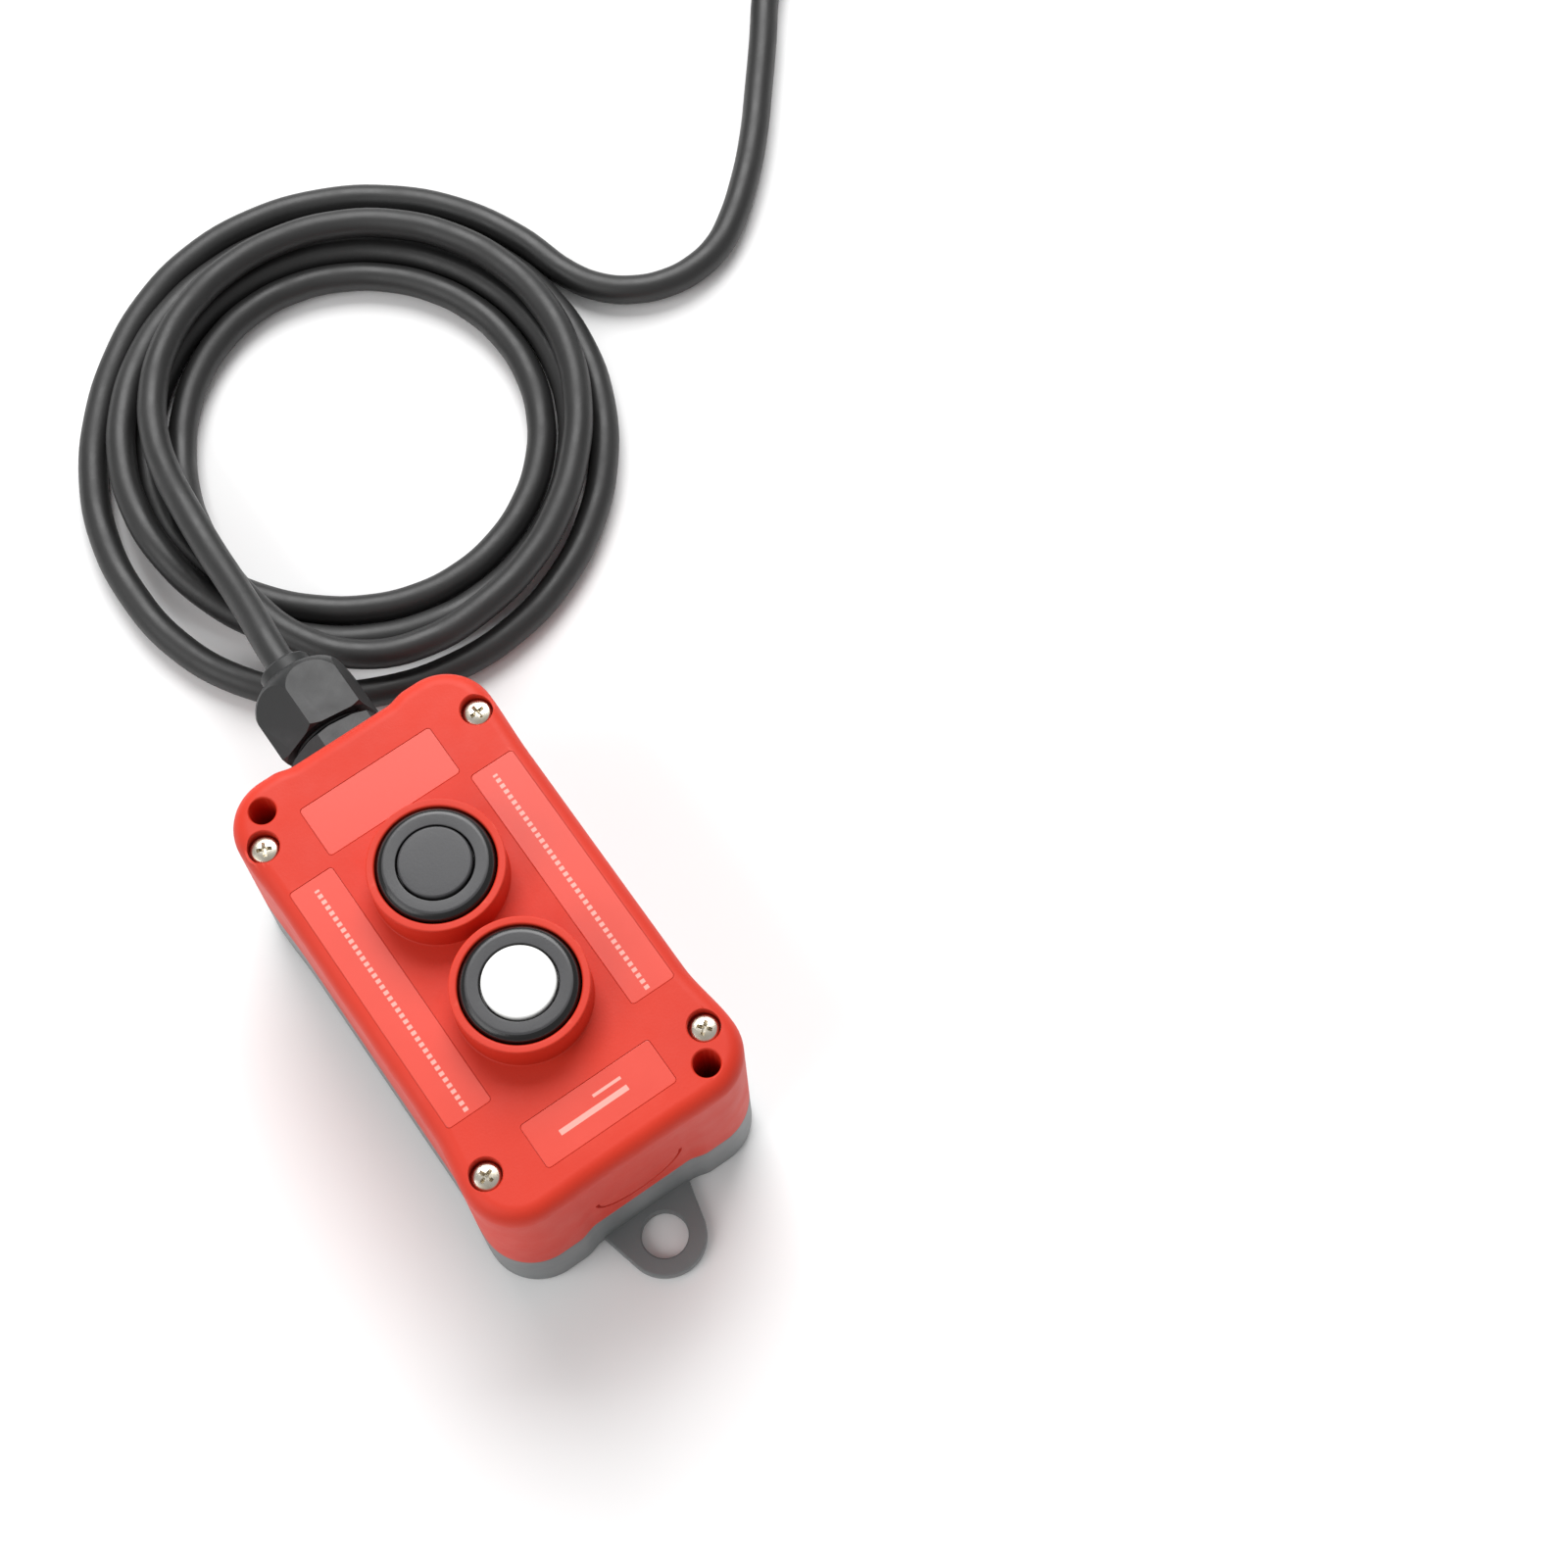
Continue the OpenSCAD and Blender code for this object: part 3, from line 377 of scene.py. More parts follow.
# ---- Studio ----
# White sweep under the object, one broad soft light beyond the gland end and weak fills.
floor_size = 6.0
floor_mesh = bpy.data.meshes.new("floor")
half = floor_size/2
floor_z = -0.0002
floor_corners = [(-half, -half, floor_z), (half, -half, floor_z), (half, half, floor_z),
    (-half, half, floor_z)]
floor_mesh.from_pydata(floor_corners, [], [(0, 1, 2, 3)])
# Matt painted board
board_paint, tree, shader = new_material("painted_board", ior=1.45)
place = add(tree, "TexCoord").outputs["Object"]
mottle = add(tree, "TexNoise", {"Vector": place, "Scale": 1/(120*mm), "Detail": 2})
tree.links.new(ramp(tree, mottle.outputs["Fac"], [(0.3, "#f6f6f6"), (0.7, "#fafafa")]),
    shader.inputs["Base Color"])
shader.inputs["Roughness"].default_value = 0.8
floor_mesh.materials.append(board_paint)
floor = bpy.data.objects.new("floor", floor_mesh)
bpy.context.scene.collection.objects.link(floor)


def soft_light(name, at, aim, size, power):
    data = bpy.data.lights.new(name, "AREA")
    data.shape = "RECTANGLE"
    data.size, data.size_y = size
    data.energy = power
    lamp = bpy.data.objects.new(name, data)
    lamp.matrix_world = Matrix.Translation(at) @ (Vector(aim) - Vector(at)).to_track_quat("-Z",
        "Y").to_matrix().to_4x4()
    bpy.context.scene.collection.objects.link(lamp)


soft_light("key", (0.95, 1.55, 2.0), (0.05, 0.05, 0), (1.9, 1.9), 76)
soft_light("left_fill", (-1.3, 0.1, 1.3), (0, 0, 0), (1.2, 1.2), 12)
world = bpy.data.worlds.new("room")
world.use_nodes = True
world.node_tree.nodes["Background"].inputs["Color"].default_value = (1, 1, 1, 1)
world.node_tree.nodes["Background"].inputs["Strength"].default_value = 0.42
bpy.context.scene.world = world
bpy.context.scene.view_settings.view_transform = "Standard"

# ---- Case shells ----
# Two injection-moulded shells that meet at a seam: a deep red front cover with screw pillars and a shallow
# grey base. Glass-filled polyamide; the plan has round corner pillars, and each end wall is set in a little.
case_y = -6.55
side_x, shoulder_x, foot_x, half_l, recessed_end = 31.8, 32.3, 33.5, 58.4, 57.4
case_h, base_h, wall, face_t, floor_t = 56, 18, 2.6, 3, 3
corner_r, face_r = 12, 4
at_case = Matrix.Translation((0, case_y, 0))
screw_spots = [(sx*27.5, sy*44.1) for sx in (-1, 1) for sy in (-1, 1)]
wall_hole_spots = [(-23.3, 51.2), (23.3, -51.2)]
button_spots = {"upper": 15.7, "lower": -16.7}


def ease(t):
    return t*t*(3 - 2*t)


def plan_quarter(pillar_x, inset, recess, steps=10, round_steps=18):
    """A quarter of the case's outline, from the side's straight stretch round to the recessed end wall."""
    side, px, py = side_x - inset, pillar_x - inset, half_l - inset
    end = py - recess
    r = max(corner_r - inset, 1)
    points = [(side + (px - side)*ease(i/steps), 30 + 16*i/steps) for i in range(steps + 1)]
    points += arc((px - r, py - r), r, 0, 90, round_steps)
    points += [(17 - 5*i/steps, py - (py - end)*ease(i/steps)) for i in range(steps + 1)]
    return points


def case_plan(inset, foot_recess=1.0):
    top, foot = plan_quarter(shoulder_x, inset, 1.0), plan_quarter(foot_x, inset, foot_recess)
    return (
        top + [(-x, y) for x, y in reversed(top)]
        + [(-x, -y) for x, y in foot] + [(x, -y) for x, y in reversed(foot)])


def loft(name, rings, material=None, place=Matrix.Identity(4)):
    """A solid through outlines with the same number of points, closed by a face at each end."""
    n = len(rings[0])
    points = [p for ring in rings for p in ring]
    faces = [tuple(range(n)), tuple((len(rings) - 1)*n + i for i in range(n))]
    for k in range(len(rings) - 1):
        for i in range(n):
            j = (i + 1) % n
            faces.append((k*n + i, k*n + j, (k + 1)*n + j, (k + 1)*n + i))
    return solid(name, points, faces, material, place)


def case_solid(name, levels, material=None):
    """The case's outline through levels of (height, inset, recess of the lug end)."""
    rings = [[(x, y, z) for x, y in case_plan(inset, recess)] for z, inset, recess in levels]
    return loft(name, rings, material, at_case)


def carve(piece, how, tools, overlapping=False):
    """Adds, cuts or keeps the overlap with each tool, and uses the tools up."""
    tool = tools[0]
    if len(tools) > 1:
        work = bmesh.new()
        for other in tools:
            work.from_mesh(other.data)
        work.to_mesh(tool.data)
        work.free()
    step = piece.modifiers.new("carve", "BOOLEAN")
    step.operation = how
    step.solver = "EXACT"
    step.use_self = overlapping
    step.object = tool
    bpy.context.view_layer.update()
    cut = bpy.data.meshes.new_from_object(piece.evaluated_get(bpy.context.evaluated_depsgraph_get()))
    piece.modifiers.clear()
    piece.data = cut
    for other in tools:
        bpy.data.objects.remove(other)


def prism(name, outline, z0, z1, material=None, place=Matrix.Identity(4)):
    return loft(name, [[(x, y, z) for x, y in outline] for z in (z0, z1)], material, place)


def at_face(x, y, z=0.0):
    return Matrix.Translation((x, case_y + y, z))


# Glass-filled polyamide, spark-textured mould: saturated coral red, satin, paler where corners are handled
cover_red = moulded("pa_gf_moulded_red", "#d5341c", "#cc2f19", (0.48, 0.6), 0.55, 0.045, "#ee6450",
    ior=1.53, specular=0.35)
# The same polymer in grey for the base, a little duller
base_grey = moulded("pa_gf_moulded_grey", "#7c7f80", "#717475", (0.42, 0.55), 0.55, 0.045, "#94989a",
    ior=1.53)

# The lug end's wall leans out to nearly flush under the face
recess_top = 0.15
wall_steps = 12
wall_levels = [(base_h + 0.35 + (case_h - face_r - base_h - 0.35)*i/wall_steps, 0, 1
    + (recess_top - 1)*i/wall_steps)
               for i in range(wall_steps)]
fillet_levels = [
    (case_h - face_r + face_r*math.sin(math.radians(a)), face_r*(1 - math.cos(math.radians(a))), recess_top)
    for a in range(0, 91, 9)]
cover = case_solid(
    "cover_shell", [(base_h, 0.35, 1), (base_h + 0.12, 0.12, 1)] + wall_levels + fillet_levels)
carve(cover, "DIFFERENCE",
    [case_solid("cover_hollow", [(base_h - 1, wall, 1), (case_h - face_t, wall, 1)])])
pillars = []
for x, y in screw_spots + wall_hole_spots:
    r = 4.1 if (x, y) in screw_spots else 4.6
    pillars.append(lathe("pillar", [(0, base_h), (r, base_h), (r, case_h - 1), (0, case_h - 1)], None,
        at_face(x, y), 48))
carve(cover, "UNION", pillars, overlapping=True)
collar_r, collar_h, collar_bore = 15, 9.2, 13.15
collar_top = case_h + collar_h
collar_profile = (
    [(collar_bore, case_h - 0.5), (collar_bore, collar_top - 0.5)]
    + arc((collar_bore + 0.5, collar_top - 0.5), 0.5, 180, 90, 4)
    + arc((collar_r - 0.35, collar_top - 0.35), 0.35, 90, 0, 5)
    + arc((collar_r + 0.3, case_h + 0.3), 0.3, 180, 262, 4)
    + [(collar_r + 0.32, case_h - 0.5)])
for name, y in button_spots.items():
    carve(cover, "UNION", [lathe("collar", collar_profile, None, at_face(0, y), 128)])
screw_head_gap_r, screw_bore_r, screw_floor = 3.6, 2.0, case_h - 3.8
cuts = []
for x, y in screw_spots:
    cuts.append(lathe("screw_bore", [
        (0, base_h - 1), (screw_bore_r, base_h - 1), (screw_bore_r, screw_floor),
        (screw_head_gap_r, screw_floor),
        (screw_head_gap_r, case_h - 0.4)] + arc((screw_head_gap_r + 0.4, case_h - 0.4), 0.4, 180, 110, 3)
        + [(screw_head_gap_r + 0.7, case_h + 1), (0, case_h + 1)], None, at_face(x, y), 64))
for x, y in wall_hole_spots:
    cuts.append(lathe("wall_bore", [(0, base_h - 1), (3, base_h - 1), (3, case_h - 0.5)]
        + arc((3.5, case_h - 0.5), 0.5, 180, 105, 3) + [(3.8, case_h + 1), (0, case_h + 1)], None,
        at_face(x, y), 64))
for name, y in button_spots.items():
    cuts.append(lathe("barrel_bore",
        [(0, case_h - 5), (11.1, case_h - 5), (11.1, case_h + 0.5), (0, case_h + 0.5)],
        None, at_face(0, y), 96))


def round_rect(w, l, r, steps=6):
    points = []
    for sx, sy, a in ((1, 1, 0), (-1, 1, 90), (-1, -1, 180), (1, -1, 270)):
        points += arc((sx*(w/2 - r), sy*(l/2 - r)), r, a, a + 90, steps)
    return points


label_t = 0.3
labels = {
    "left": (10.8, 63.2, -23.2, 0), "right": (10.8, 63.2, 23.2, 0),
    "top": (33.4, 12.8, 0, 40.2), "bottom": (32.4, 11, 0, -45.2),
}
for name, (w, l, x, y) in labels.items():
    cuts.append(prism("label_place", round_rect(w + 0.24, l + 0.24, 0.9), case_h - label_t, case_h + 1,
        None, at_face(x, y)))


def along_entry(y):
    """Turns a piece's +Z towards the gland end, on the cable entry's axis."""
    return Matrix.Translation((0, case_y + y, entry_z)) @ Matrix.Rotation(math.radians(-90), 4, "X")


cuts.append(lathe("entry_bore", [(0, 0), (8.15, 0), (8.15, 8), (0, 8)], None, along_entry(52), 64))
carve(cover, "DIFFERENCE", cuts)
# Half-round groove that marks the blank in the lug end's wall
blank_r, groove_w, groove_depth = 10.7, 0.9, 0.7
groove_steps = 40
groove_rings = []
for i in range(groove_steps + 1):
    a = math.radians(180 + 180*i/groove_steps)
    groove_rings.append([
        (r*math.cos(a), y, entry_z + r*math.sin(a))
        for r, y in ((blank_r + groove_w/2 + 0.25, -half_l - 0.6),
            (blank_r + 0.2, -recessed_end + groove_depth),
                     (blank_r - 0.2, -recessed_end + groove_depth),
                     (blank_r - groove_w/2 - 0.25, -half_l - 0.6))])
carve(cover, "DIFFERENCE", [loft("blank_groove", groove_rings, None, at_case)])
cover.data.materials.clear()
cover.data.materials.append(cover_red)
polish(cover)
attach(cover, "station")
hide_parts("cover")

# Base: shallow tray with a bevelled back, pillars for the inserts, posts for the carrier and the hanging lug
base = case_solid("base_shell", [
    (0, 1, 1), (0.15, 0.75, 1), (0.85, 0.08, 1), (1.1, 0, 1), (base_h - 0.35, 0, 1),
    (base_h - 0.12, 0.12, 1),
    (base_h, 0.35, 1)])
carve(base, "DIFFERENCE", [case_solid("base_hollow", [(floor_t, wall, 1), (base_h + 1, wall, 1)])])
posts = []
for x, y in screw_spots + wall_hole_spots:
    r = 4.1 if (x, y) in screw_spots else 4.6
    posts.append(lathe("pillar", [(0, 1), (r, 1), (r, base_h - 0.1), (0, base_h - 0.1)], None,
        at_face(x, y), 48))
for s in (-1, 1):
    posts.append(lathe("carrier_post", [(0, 1), (4, 1), (4, base_h + 1), (0, base_h + 1)], None,
        at_face(0, 32*s), 48))
carve(base, "UNION", posts, overlapping=True)
lug_r, lug_hole_r, lug_root_x, lug_t, lug_reach = 9.4, 5.25, 11.4, 3, 7.2
lug_y = -recessed_end - lug_reach


def lug_outline(inset):
    """Round eye with sides that run tangent to the end wall's root."""
    r, root = lug_r - inset, lug_root_x - inset
    reach = math.hypot(lug_reach, root)
    turn = math.degrees(math.atan2(lug_reach, root) - math.acos(r/reach))
    eye = arc((0, lug_y), r, turn, -180 - turn, 40)
    return eye + [(-root, -recessed_end), (-root, 2 - recessed_end), (root, 2 - recessed_end),
        (root, -recessed_end)]


lug_levels = [(0, 0.5), (0.15, 0.15), (0.5, 0), (lug_t - 0.6, 0), (lug_t - 0.18, 0.18), (lug_t, 0.6)]
carve(base, "UNION", [loft("lug",
    [[(x, y, z) for x, y in lug_outline(inset)] for z, inset in lug_levels], None, at_case)])
cuts = [lathe("lug_hole", [(0, -1), (lug_hole_r + 0.6, -1), (lug_hole_r + 0.35, 0)]
    + [(lug_hole_r, 0.4), (lug_hole_r, lug_t - 0.5)]
    + arc((lug_hole_r + 0.5, lug_t - 0.5), 0.5, 180, 110, 4)
    + [(lug_hole_r + 0.9, lug_t + 1), (0, lug_t + 1)], None, at_face(0, lug_y), 96)]
for x, y in wall_hole_spots:
    cuts.append(lathe("wall_bore",
        [(0, -1), (3.3, -1), (3.3, 0), (3, 0.3), (3, base_h + 2), (0, base_h + 2)], None, at_face(x, y),
        64))
for x, y in screw_spots:
    cuts.append(lathe("insert_bore",
        [(0, base_h - 11), (1.75, base_h - 11), (1.75, base_h - 9), (2.6, base_h - 9),
        (2.6, base_h + 1), (0, base_h + 1)], None, at_face(x, y), 48))
for s in (-1, 1):
    cuts.append(lathe("post_bore", [(0, 9), (1.5, 9), (1.5, base_h + 2), (0, base_h + 2)], None,
        at_face(0, 32*s), 32))
seam_out = case_plan(0.8)
seam_in = case_plan(1.9)
n = len(seam_out)
seam_points = [(x, y, z) for z in (base_h - 1.2, base_h + 1) for ring in (seam_out, seam_in) for x,
    y in ring]
seam_faces = []
for i in range(n):
    j = (i + 1) % n
    seam_faces += [(i, j, n + j, n + i), (2*n + i, 2*n + j, 3*n + j, 3*n + i), (i, j, 2*n + j, 2*n + i),
        (n + i, n + j, 3*n + j, 3*n + i)]
cuts.append(solid("seam_groove", seam_points, seam_faces, None, at_case))
carve(base, "DIFFERENCE", cuts)
base.data.materials.clear()
base.data.materials.append(base_grey)
polish(base)
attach(base, "station")
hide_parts("base", "hanging_lug")

# Sealing cord in the seam: nitrile rubber, black and matt, with a dusty bloom
nitrile = moulded("nitrile_rubber", "#232325", "#1a1a1b", (0.6, 0.75), 0.4, 0.02, ior=1.52)
dress(["cover_gasket", "gland_washer", "gland_seal", "upper_panel_seal", "lower_panel_seal"], nitrile)
dress(["base_inserts"], brass_turned)

# ---- Labels ----
# Four inlaid panels in shallow recesses: self-adhesive polyester film, screen-printed the cover's red.
# The side ones carry a row of plain dashes, and the bottom one two bars.
label_edge = 0.12


def film(name, dashes):
    """Printed polyester film: satin red, with pale print; dashes lists x, y, width, length, pitch, duty."""
    material, tree, shader = new_material(name, ior=1.57)
    place = add(tree, "TexCoord").outputs["Object"]
    drift = add(tree, "TexNoise", {"Vector": place, "Scale": 1/(14*mm), "Detail": 3})
    colour = ramp(tree, drift.outputs["Fac"], [(0.3, "#d83820"), (0.7, "#dd3c25")])
    spot = add(tree, "SeparateXYZ", {0: place})
    for x, y, w, l, pitch, duty in dashes:
        off_x = add(tree, "Math", {0: spot.outputs["X"], 1: x*mm}, operation="SUBTRACT")
        off_x = add(tree, "Math", {0: off_x.outputs[0]}, operation="ABSOLUTE")
        in_x = add(tree, "Math", {0: off_x.outputs[0], 1: w/2*mm}, operation="LESS_THAN")
        off_y = add(tree, "Math", {0: spot.outputs["Y"], 1: (case_y + y)*mm}, operation="SUBTRACT")
        dist_y = add(tree, "Math", {0: off_y.outputs[0]}, operation="ABSOLUTE")
        in_y = add(tree, "Math", {0: dist_y.outputs[0], 1: l/2*mm}, operation="LESS_THAN")
        step = add(tree, "Math", {0: off_y.outputs[0], 1: pitch*mm}, operation="FLOORED_MODULO")
        in_dash = add(tree, "Math", {0: step.outputs[0], 1: pitch*duty*mm}, operation="LESS_THAN")
        print_on = add(tree, "Math", {0: in_x.outputs[0], 1: in_y.outputs[0]}, operation="MULTIPLY")
        print_on = add(tree, "Math", {0: print_on.outputs[0], 1: in_dash.outputs[0]}, operation="MULTIPLY")
        faint = add(tree, "Math", {0: print_on.outputs[0], 1: 0.6}, operation="MULTIPLY")
        colour = add(tree, "Mix", {0: faint.outputs[0], 6: colour, 7: linear("#f6c9bd")},
            data_type="RGBA").outputs[2]
    tree.links.new(colour, shader.inputs["Base Color"])
    gloss = add(tree, "MapRange", {"Value": drift.outputs["Fac"], "To Min": 0.3, "To Max": 0.42})
    tree.links.new(gloss.outputs["Result"], shader.inputs["Roughness"])
    peel = add(tree, "TexNoise", {"Vector": place, "Scale": 1/(0.8*mm), "Detail": 1})
    bump = add(tree, "Bump", {"Height": peel.outputs["Fac"], "Distance": 0.01*mm, "Strength": 0.5})
    tree.links.new(bump.outputs["Normal"], shader.inputs["Normal"])
    return material


# Polyester film, screen-printed: a shade lighter and smoother than the moulded face
side_film = film("polyester_film_dashed",
    [(-23.3, -1.1, 1.1, 60, 1.55, 0.6), (22.4, -1.1, 1.1, 60, 1.55, 0.6)])
plain_film = film("polyester_film_barred", [(-1.5, -45.8, 17, 1.3, 9, 1), (3.4, -43.2, 7, 0.7, 9, 1)])
for name, (w, l, x, y) in labels.items():
    levels = [(case_h - label_t, 0), (case_h - 0.1, 0), (case_h - 0.02, label_edge)]
    rings = [[(px, py, z) for px, py in round_rect(w - 2*inset, l - 2*inset, 0.8 - inset/2)] for z,
        inset in levels]
    plate = loft("label_plate_" + name, rings, side_film if name in ("left", "right") else plain_film,
        at_face(x, y))
    polish(plate, 50)
    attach(plate, "station")
    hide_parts("label_" + name)

# ---- Cover screws ----
# Four M3.5 pan-head screws with cross recesses, sunk in counterbores: steel, nickel-plated.
head_r, head_t, screw_r = 3.2, 2.2, 1.75
screw_top = case_h - 1.6
screw_tip = base_h - 7
head_profile = (
    [(0, screw_tip), (screw_r - 0.3, screw_tip), (screw_r, screw_tip + 0.5), (screw_r, screw_top - head_t),
     (head_r - 0.15, screw_top - head_t), (head_r, screw_top - head_t + 0.15), (head_r, screw_top - 0.95)]
    + arc((head_r - 0.75, screw_top - 0.95), 0.75, 0, 72, 6) + [(1.2, screw_top - 0.03), (0, screw_top)])
# Nickel plate over steel: bright and slightly warm, hazed by handling
nickel_steel = plated("steel_nickel_plated", "#e6e0d3", "#b2a993", (0.2, 0.36), 0.3)
turns = {(-1, -1): 20, (-1, 1): 68, (1, -1): 41, (1, 1): 5}
for i, (x, y) in enumerate(screw_spots):
    corner = (1 if x > 0 else -1, 1 if y > 0 else -1)
    place = at_face(x, y) @ Matrix.Rotation(math.radians(turns[corner]), 4, "Z")
    screw = lathe("cover_screw_%d" % (i + 1), head_profile, None, place, 64)
    for turn in (0, 90):
        slot = loft("cross_recess", [
            [(sx*w, sy*t, screw_top + z) for sx, sy in ((1, 1), (-1, 1), (-1, -1), (1, -1))]
            for z, w, t in ((-1.4, 0.7, 0.28), (-0.9, 1.15, 0.34), (0.3, 2.0, 0.44))],
            None, place @ Matrix.Rotation(math.radians(turn), 4, "Z"))
        carve(screw, "DIFFERENCE", [slot])
    screw.data.materials.clear()
    screw.data.materials.append(nickel_steel)
    polish(screw)
    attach(screw, "station")
    if i == 0:
        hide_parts("cover_screws")

# ---- Cable gland ----
# Nylon gland: a hexagonal flange screwed into the end wall, a domed cap nut that squeezes a rubber bush
# on to the cable, and a lock nut inside. PA6, moulded.
gland_af = 22
hex_r = gland_af/math.sqrt(3)


def hexagon(turn=15, grow=0.0):
    reach = hex_r + grow
    angles = [math.radians(turn + 60*k) for k in range(6)]
    return [(reach*math.cos(a), reach*math.sin(a)) for a in angles]


# PA6, moulded: black with a slight sheen, corners rubbed grey by the spanner
gland_nylon = moulded("pa6_moulded_black", "#191a1b", "#131414", (0.42, 0.54), 0.45, 0.03, "#38393b",
    ior=1.53)
flange_y, flange_l, cap_y, flats_l, nut_end = 58.6, 5.6, 66.0, 8.6, 21.1
gland = prism("gland_flange", hexagon(), 0, flange_l, None, along_entry(flange_y))
chamfer_profile = [(0, 0), (11.6, 0), (12.9, 0.8), (12.9, flange_l - 0.9), (11.4, flange_l), (0, flange_l)]
carve(gland, "INTERSECT", [lathe("flange_chamfer", chamfer_profile,
    None, along_entry(flange_y), 96)])
thread_r, thread_root_r, thread_pitch, turns_cut = 9.4, 8.9, 1.1, 5
neck_r, neck_l, inner_end = 8, 9, -11
clear_bore_r, seal_bore_r = 5, 7.8
thread = []
for k in range(turns_cut):
    z = flange_l + 0.1 + thread_pitch*k
    thread += [(thread_r, z), (thread_r, z + 0.35), (thread_root_r, z + 0.6), (thread_root_r, z + 0.9)]
neck_root = [(neck_r, inner_end), (neck_r, 1), (thread_r, 1)]
neck_bore = [
    (seal_bore_r, flange_l + neck_l), (seal_bore_r, flange_l),
    (clear_bore_r, flange_l), (clear_bore_r, inner_end)]
neck_profile = neck_root + thread + [(thread_r, flange_l + neck_l)] + neck_bore
carve(gland, "UNION", [lathe("gland_neck", neck_profile, None, along_entry(flange_y), 96)])
bore_profile = [
    (0, inner_end - 1), (clear_bore_r, inner_end - 1), (clear_bore_r, flange_l),
    (seal_bore_r, flange_l), (seal_bore_r, 20), (0, 20)]
carve(gland, "DIFFERENCE", [lathe("gland_bore", bore_profile, None, along_entry(flange_y), 96)])
gland.data.materials.clear()
gland.data.materials.append(gland_nylon)
polish(gland)
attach(gland, "station")
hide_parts("gland_body")

exit_r = cable_d/2 + 0.5
dome_end, lip_r = 17.6, 6.2
dome_profile = [(0, 0), (11.7, 0), (12.9, 0.8), (12.9, flats_l)]
for k in range(1, 17):
    a = math.radians(88*k/16)
    spread, rise = 12.4 - lip_r, dome_end - flats_l
    dome_profile.append((lip_r + 0.5 + spread*math.cos(a), flats_l + rise*math.sin(a)))
dome_profile += [(lip_r, dome_end + 0.5), (lip_r, nut_end - 0.5), (lip_r - 0.4, nut_end), (0, nut_end)]
cap_nut = prism("gland_cap_nut", hexagon(), 0, nut_end + 1, None, along_entry(cap_y))
carve(cap_nut, "INTERSECT", [lathe("dome", dome_profile, None, along_entry(cap_y), 128)])
carve(cap_nut, "DIFFERENCE", [lathe("cap_bore",
    [(0, -1), (9.45, -1), (9.45, 7.5), (7.9, 7.5), (7.9, 10.5), (exit_r, 10.5), (exit_r, nut_end - 0.9)]
    + arc((exit_r + 0.9, nut_end - 0.9), 0.9, 180, 100, 5)
    + [(exit_r + 1, nut_end + 1), (0, nut_end + 1)], None, along_entry(cap_y), 96)])
cap_nut.data.materials.clear()
cap_nut.data.materials.append(gland_nylon)
polish(cap_nut, 28)
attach(cap_nut, "station")
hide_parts("gland_cap")
dress(["gland_lock_nut", "gland_claw"], gland_nylon)

# ---- Push buttons ----
# Two 22 mm operators in the collars: a round-shouldered bezel ring on a threaded barrel, and a sprung cap
# held under the ring's lip. Glass-filled nylon ring, acetal caps, one grey and one white.
bezel_r, barrel_r, bezel_bore, bezel_top, barrel_rim = 12.8, 10.9, 8.35, case_h + 10.4, case_h + 7
# PBT, moulded: black, satin
ring_black = moulded("pbt_moulded_black", "#0e0e0f", "#0a0a0b", (0.22, 0.32), 0.45, 0.02, "#1c1c1e",
    ior=1.55)
# The ring's flat top face: a grey tint on the black that is painted reflection, standing in for the bright
# sky mirrored by the flat face
ring_face_painted_reflection = moulded("pbt_painted_reflection_face", "#3c3c3e", "#353537", (0.3, 0.4), 0.45, 0.02, ior=1.55)
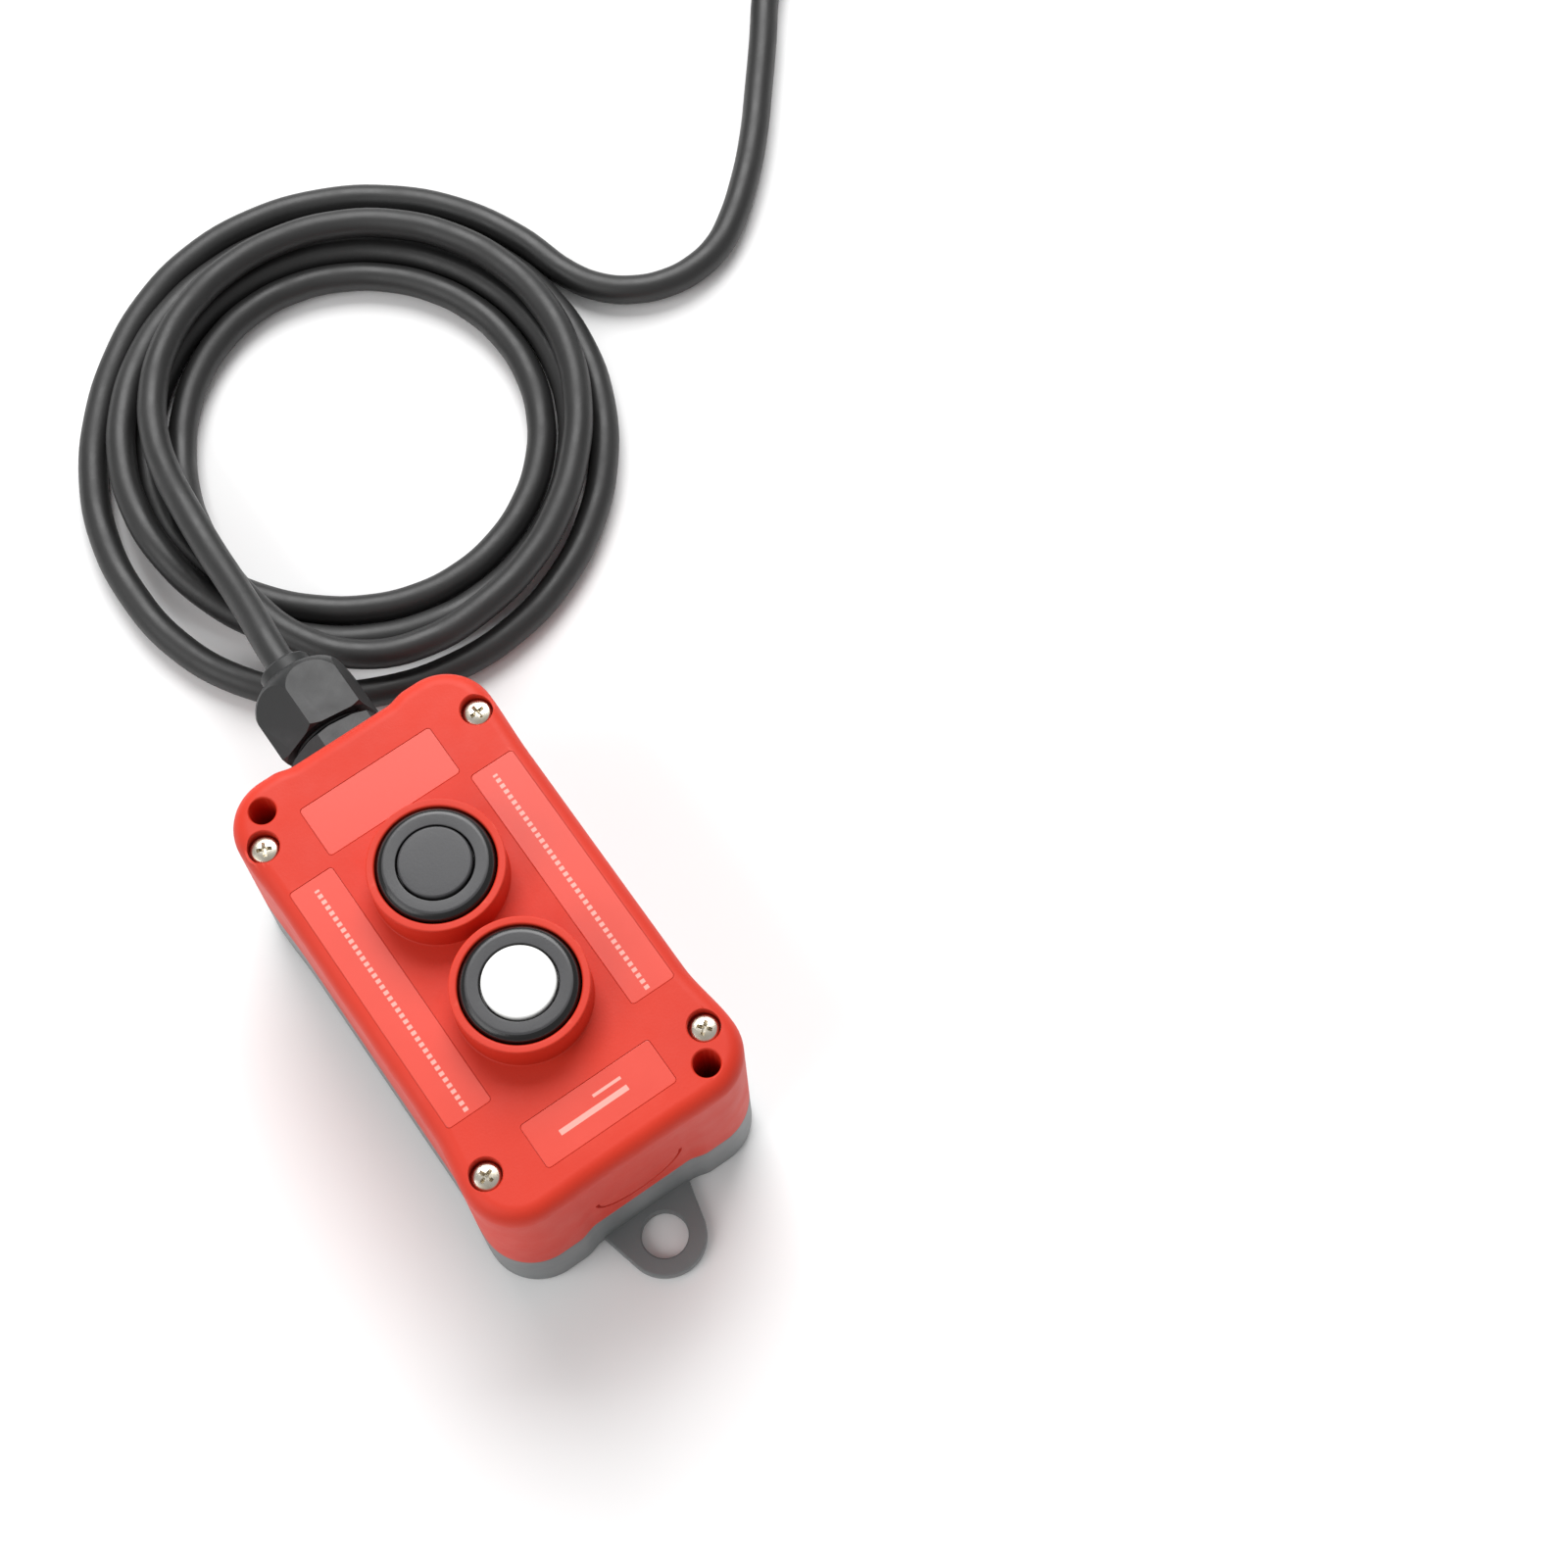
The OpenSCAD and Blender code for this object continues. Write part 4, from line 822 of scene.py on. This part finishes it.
# Acetal, moulded: waxy and smooth
cap_finish = {
    "upper": moulded("acetal_moulded_grey", "#454547", "#3f3f41", (0.3, 0.4), 0.6, 0.02, "#565759",
        ior=1.48),
    "lower": moulded("acetal_moulded_white", "#fafaf8", "#f6f6f4", (0.3, 0.4), 0.6, 0.02, None, ior=1.48),
}
cap_r, cap_top, flange_r, flange_low = 8, case_h + 11.1, 9.6, case_h + 4.6
for name, y in button_spots.items():
    ring = lathe(name + "_bezel_ring",
        [(barrel_r, case_h + 3), (bezel_r - 0.3, case_h + 3), (bezel_r, case_h + 3.3)]
        + arc((bezel_r - 2, bezel_top - 2), 2, 0, 90, 10)
        + arc((bezel_bore + 0.35, bezel_top - 0.4), 0.35, 90, 180, 4)
        + [(bezel_bore, barrel_rim), (barrel_r, barrel_rim)], ring_black, at_face(0, y), 128)
    ring.data.materials.append(ring_face_painted_reflection)
    # Only the upward-facing top faces take the grey, which paints the sky's reflection on them
    for face in ring.data.polygons:
        if face.normal.z > 0.97 and face.center.z > (bezel_top - 0.1)*mm:
            face.material_index = 1
    polish(ring, 40)
    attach(ring, "station")
    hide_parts(name + "_bezel")
    cap = lathe(name + "_push_cap",
        [(3, flange_low), (flange_r - 0.2, flange_low), (flange_r, flange_low + 0.2),
        (flange_r, flange_low + 2.2),
         (cap_r, flange_low + 2.2)] + arc((cap_r - 0.55, cap_top - 0.58), 0.55, 0, 84, 6)
        + [(5, cap_top - 0.008), (0, cap_top), (0, cap_top - 2.4), (3, cap_top - 2.4)], cap_finish[name],
        at_face(0, y), 128)
    polish(cap, 40)
    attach(cap, name + "_button")
    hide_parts(name + "_cap")
# Acetal, turned rod: ivory
acetal_ivory = moulded("acetal_turned_ivory", "#e8e4d8", "#ddd8ca", (0.28, 0.38), 0.5, 0.01, ior=1.48)
# Spring wire, drawn: bluish steel with draw marks
spring_wire = plated("steel_drawn_wire", "#c3c5c8", "#9ea1a5", (0.22, 0.36), 0.2)
for side in button_spots:
    dress([side + "_barrel", side + "_back_nut"], ring_black)
    dress([side + "_stem", side + "_pusher"], acetal_ivory)
    dress([side + "_spring", side + "_block_spring"], spring_wire)

# ---- Contact blocks, carrier and cores ----
# Urea housings on a laminate plate, brass strips and bridges, and three PVC-insulated cores.
# Urea-formaldehyde, compression-moulded: opaque cream with a soft gloss
urea_cream = moulded("urea_moulded_cream", "#e6e0d0", "#dcd5c2", (0.26, 0.38), 0.6, 0.02, "#f3efe4",
    ior=1.54)
# Paper-phenolic laminate, sawn: brown with mottled layers
laminate_brown = moulded("phenolic_laminate_sawn", "#c2ab7e", "#a98f60", (0.4, 0.55), 0.35, 0.05,
    "#dcc9a2", ior=1.6)
for side in button_spots:
    dress([side + "_block"], urea_cream)
    dress([side + "_fixed_contacts", side + "_bridge"], brass_turned)
    dress([side + "_terminal_screws"], nickel_steel)
dress(["contact_carrier"], laminate_brown)
dress(["carrier_screws"], nickel_steel)
# PVC insulation, extruded: glossy solid tints
core_brown = moulded("pvc_extruded_brown", "#6d4a2c", "#5e3f25", (0.3, 0.42), 0.4, 0.01, ior=1.53)
core_black = moulded("pvc_extruded_black", "#232325", "#1b1b1d", (0.3, 0.42), 0.4, 0.01, ior=1.53)
core_grey = moulded("pvc_extruded_grey", "#8c8f92", "#7d8083", (0.3, 0.42), 0.4, 0.01, ior=1.53)
dress(["core_common", "core_link"], core_brown)
dress(["core_up"], core_black)
dress(["core_down"], core_grey)
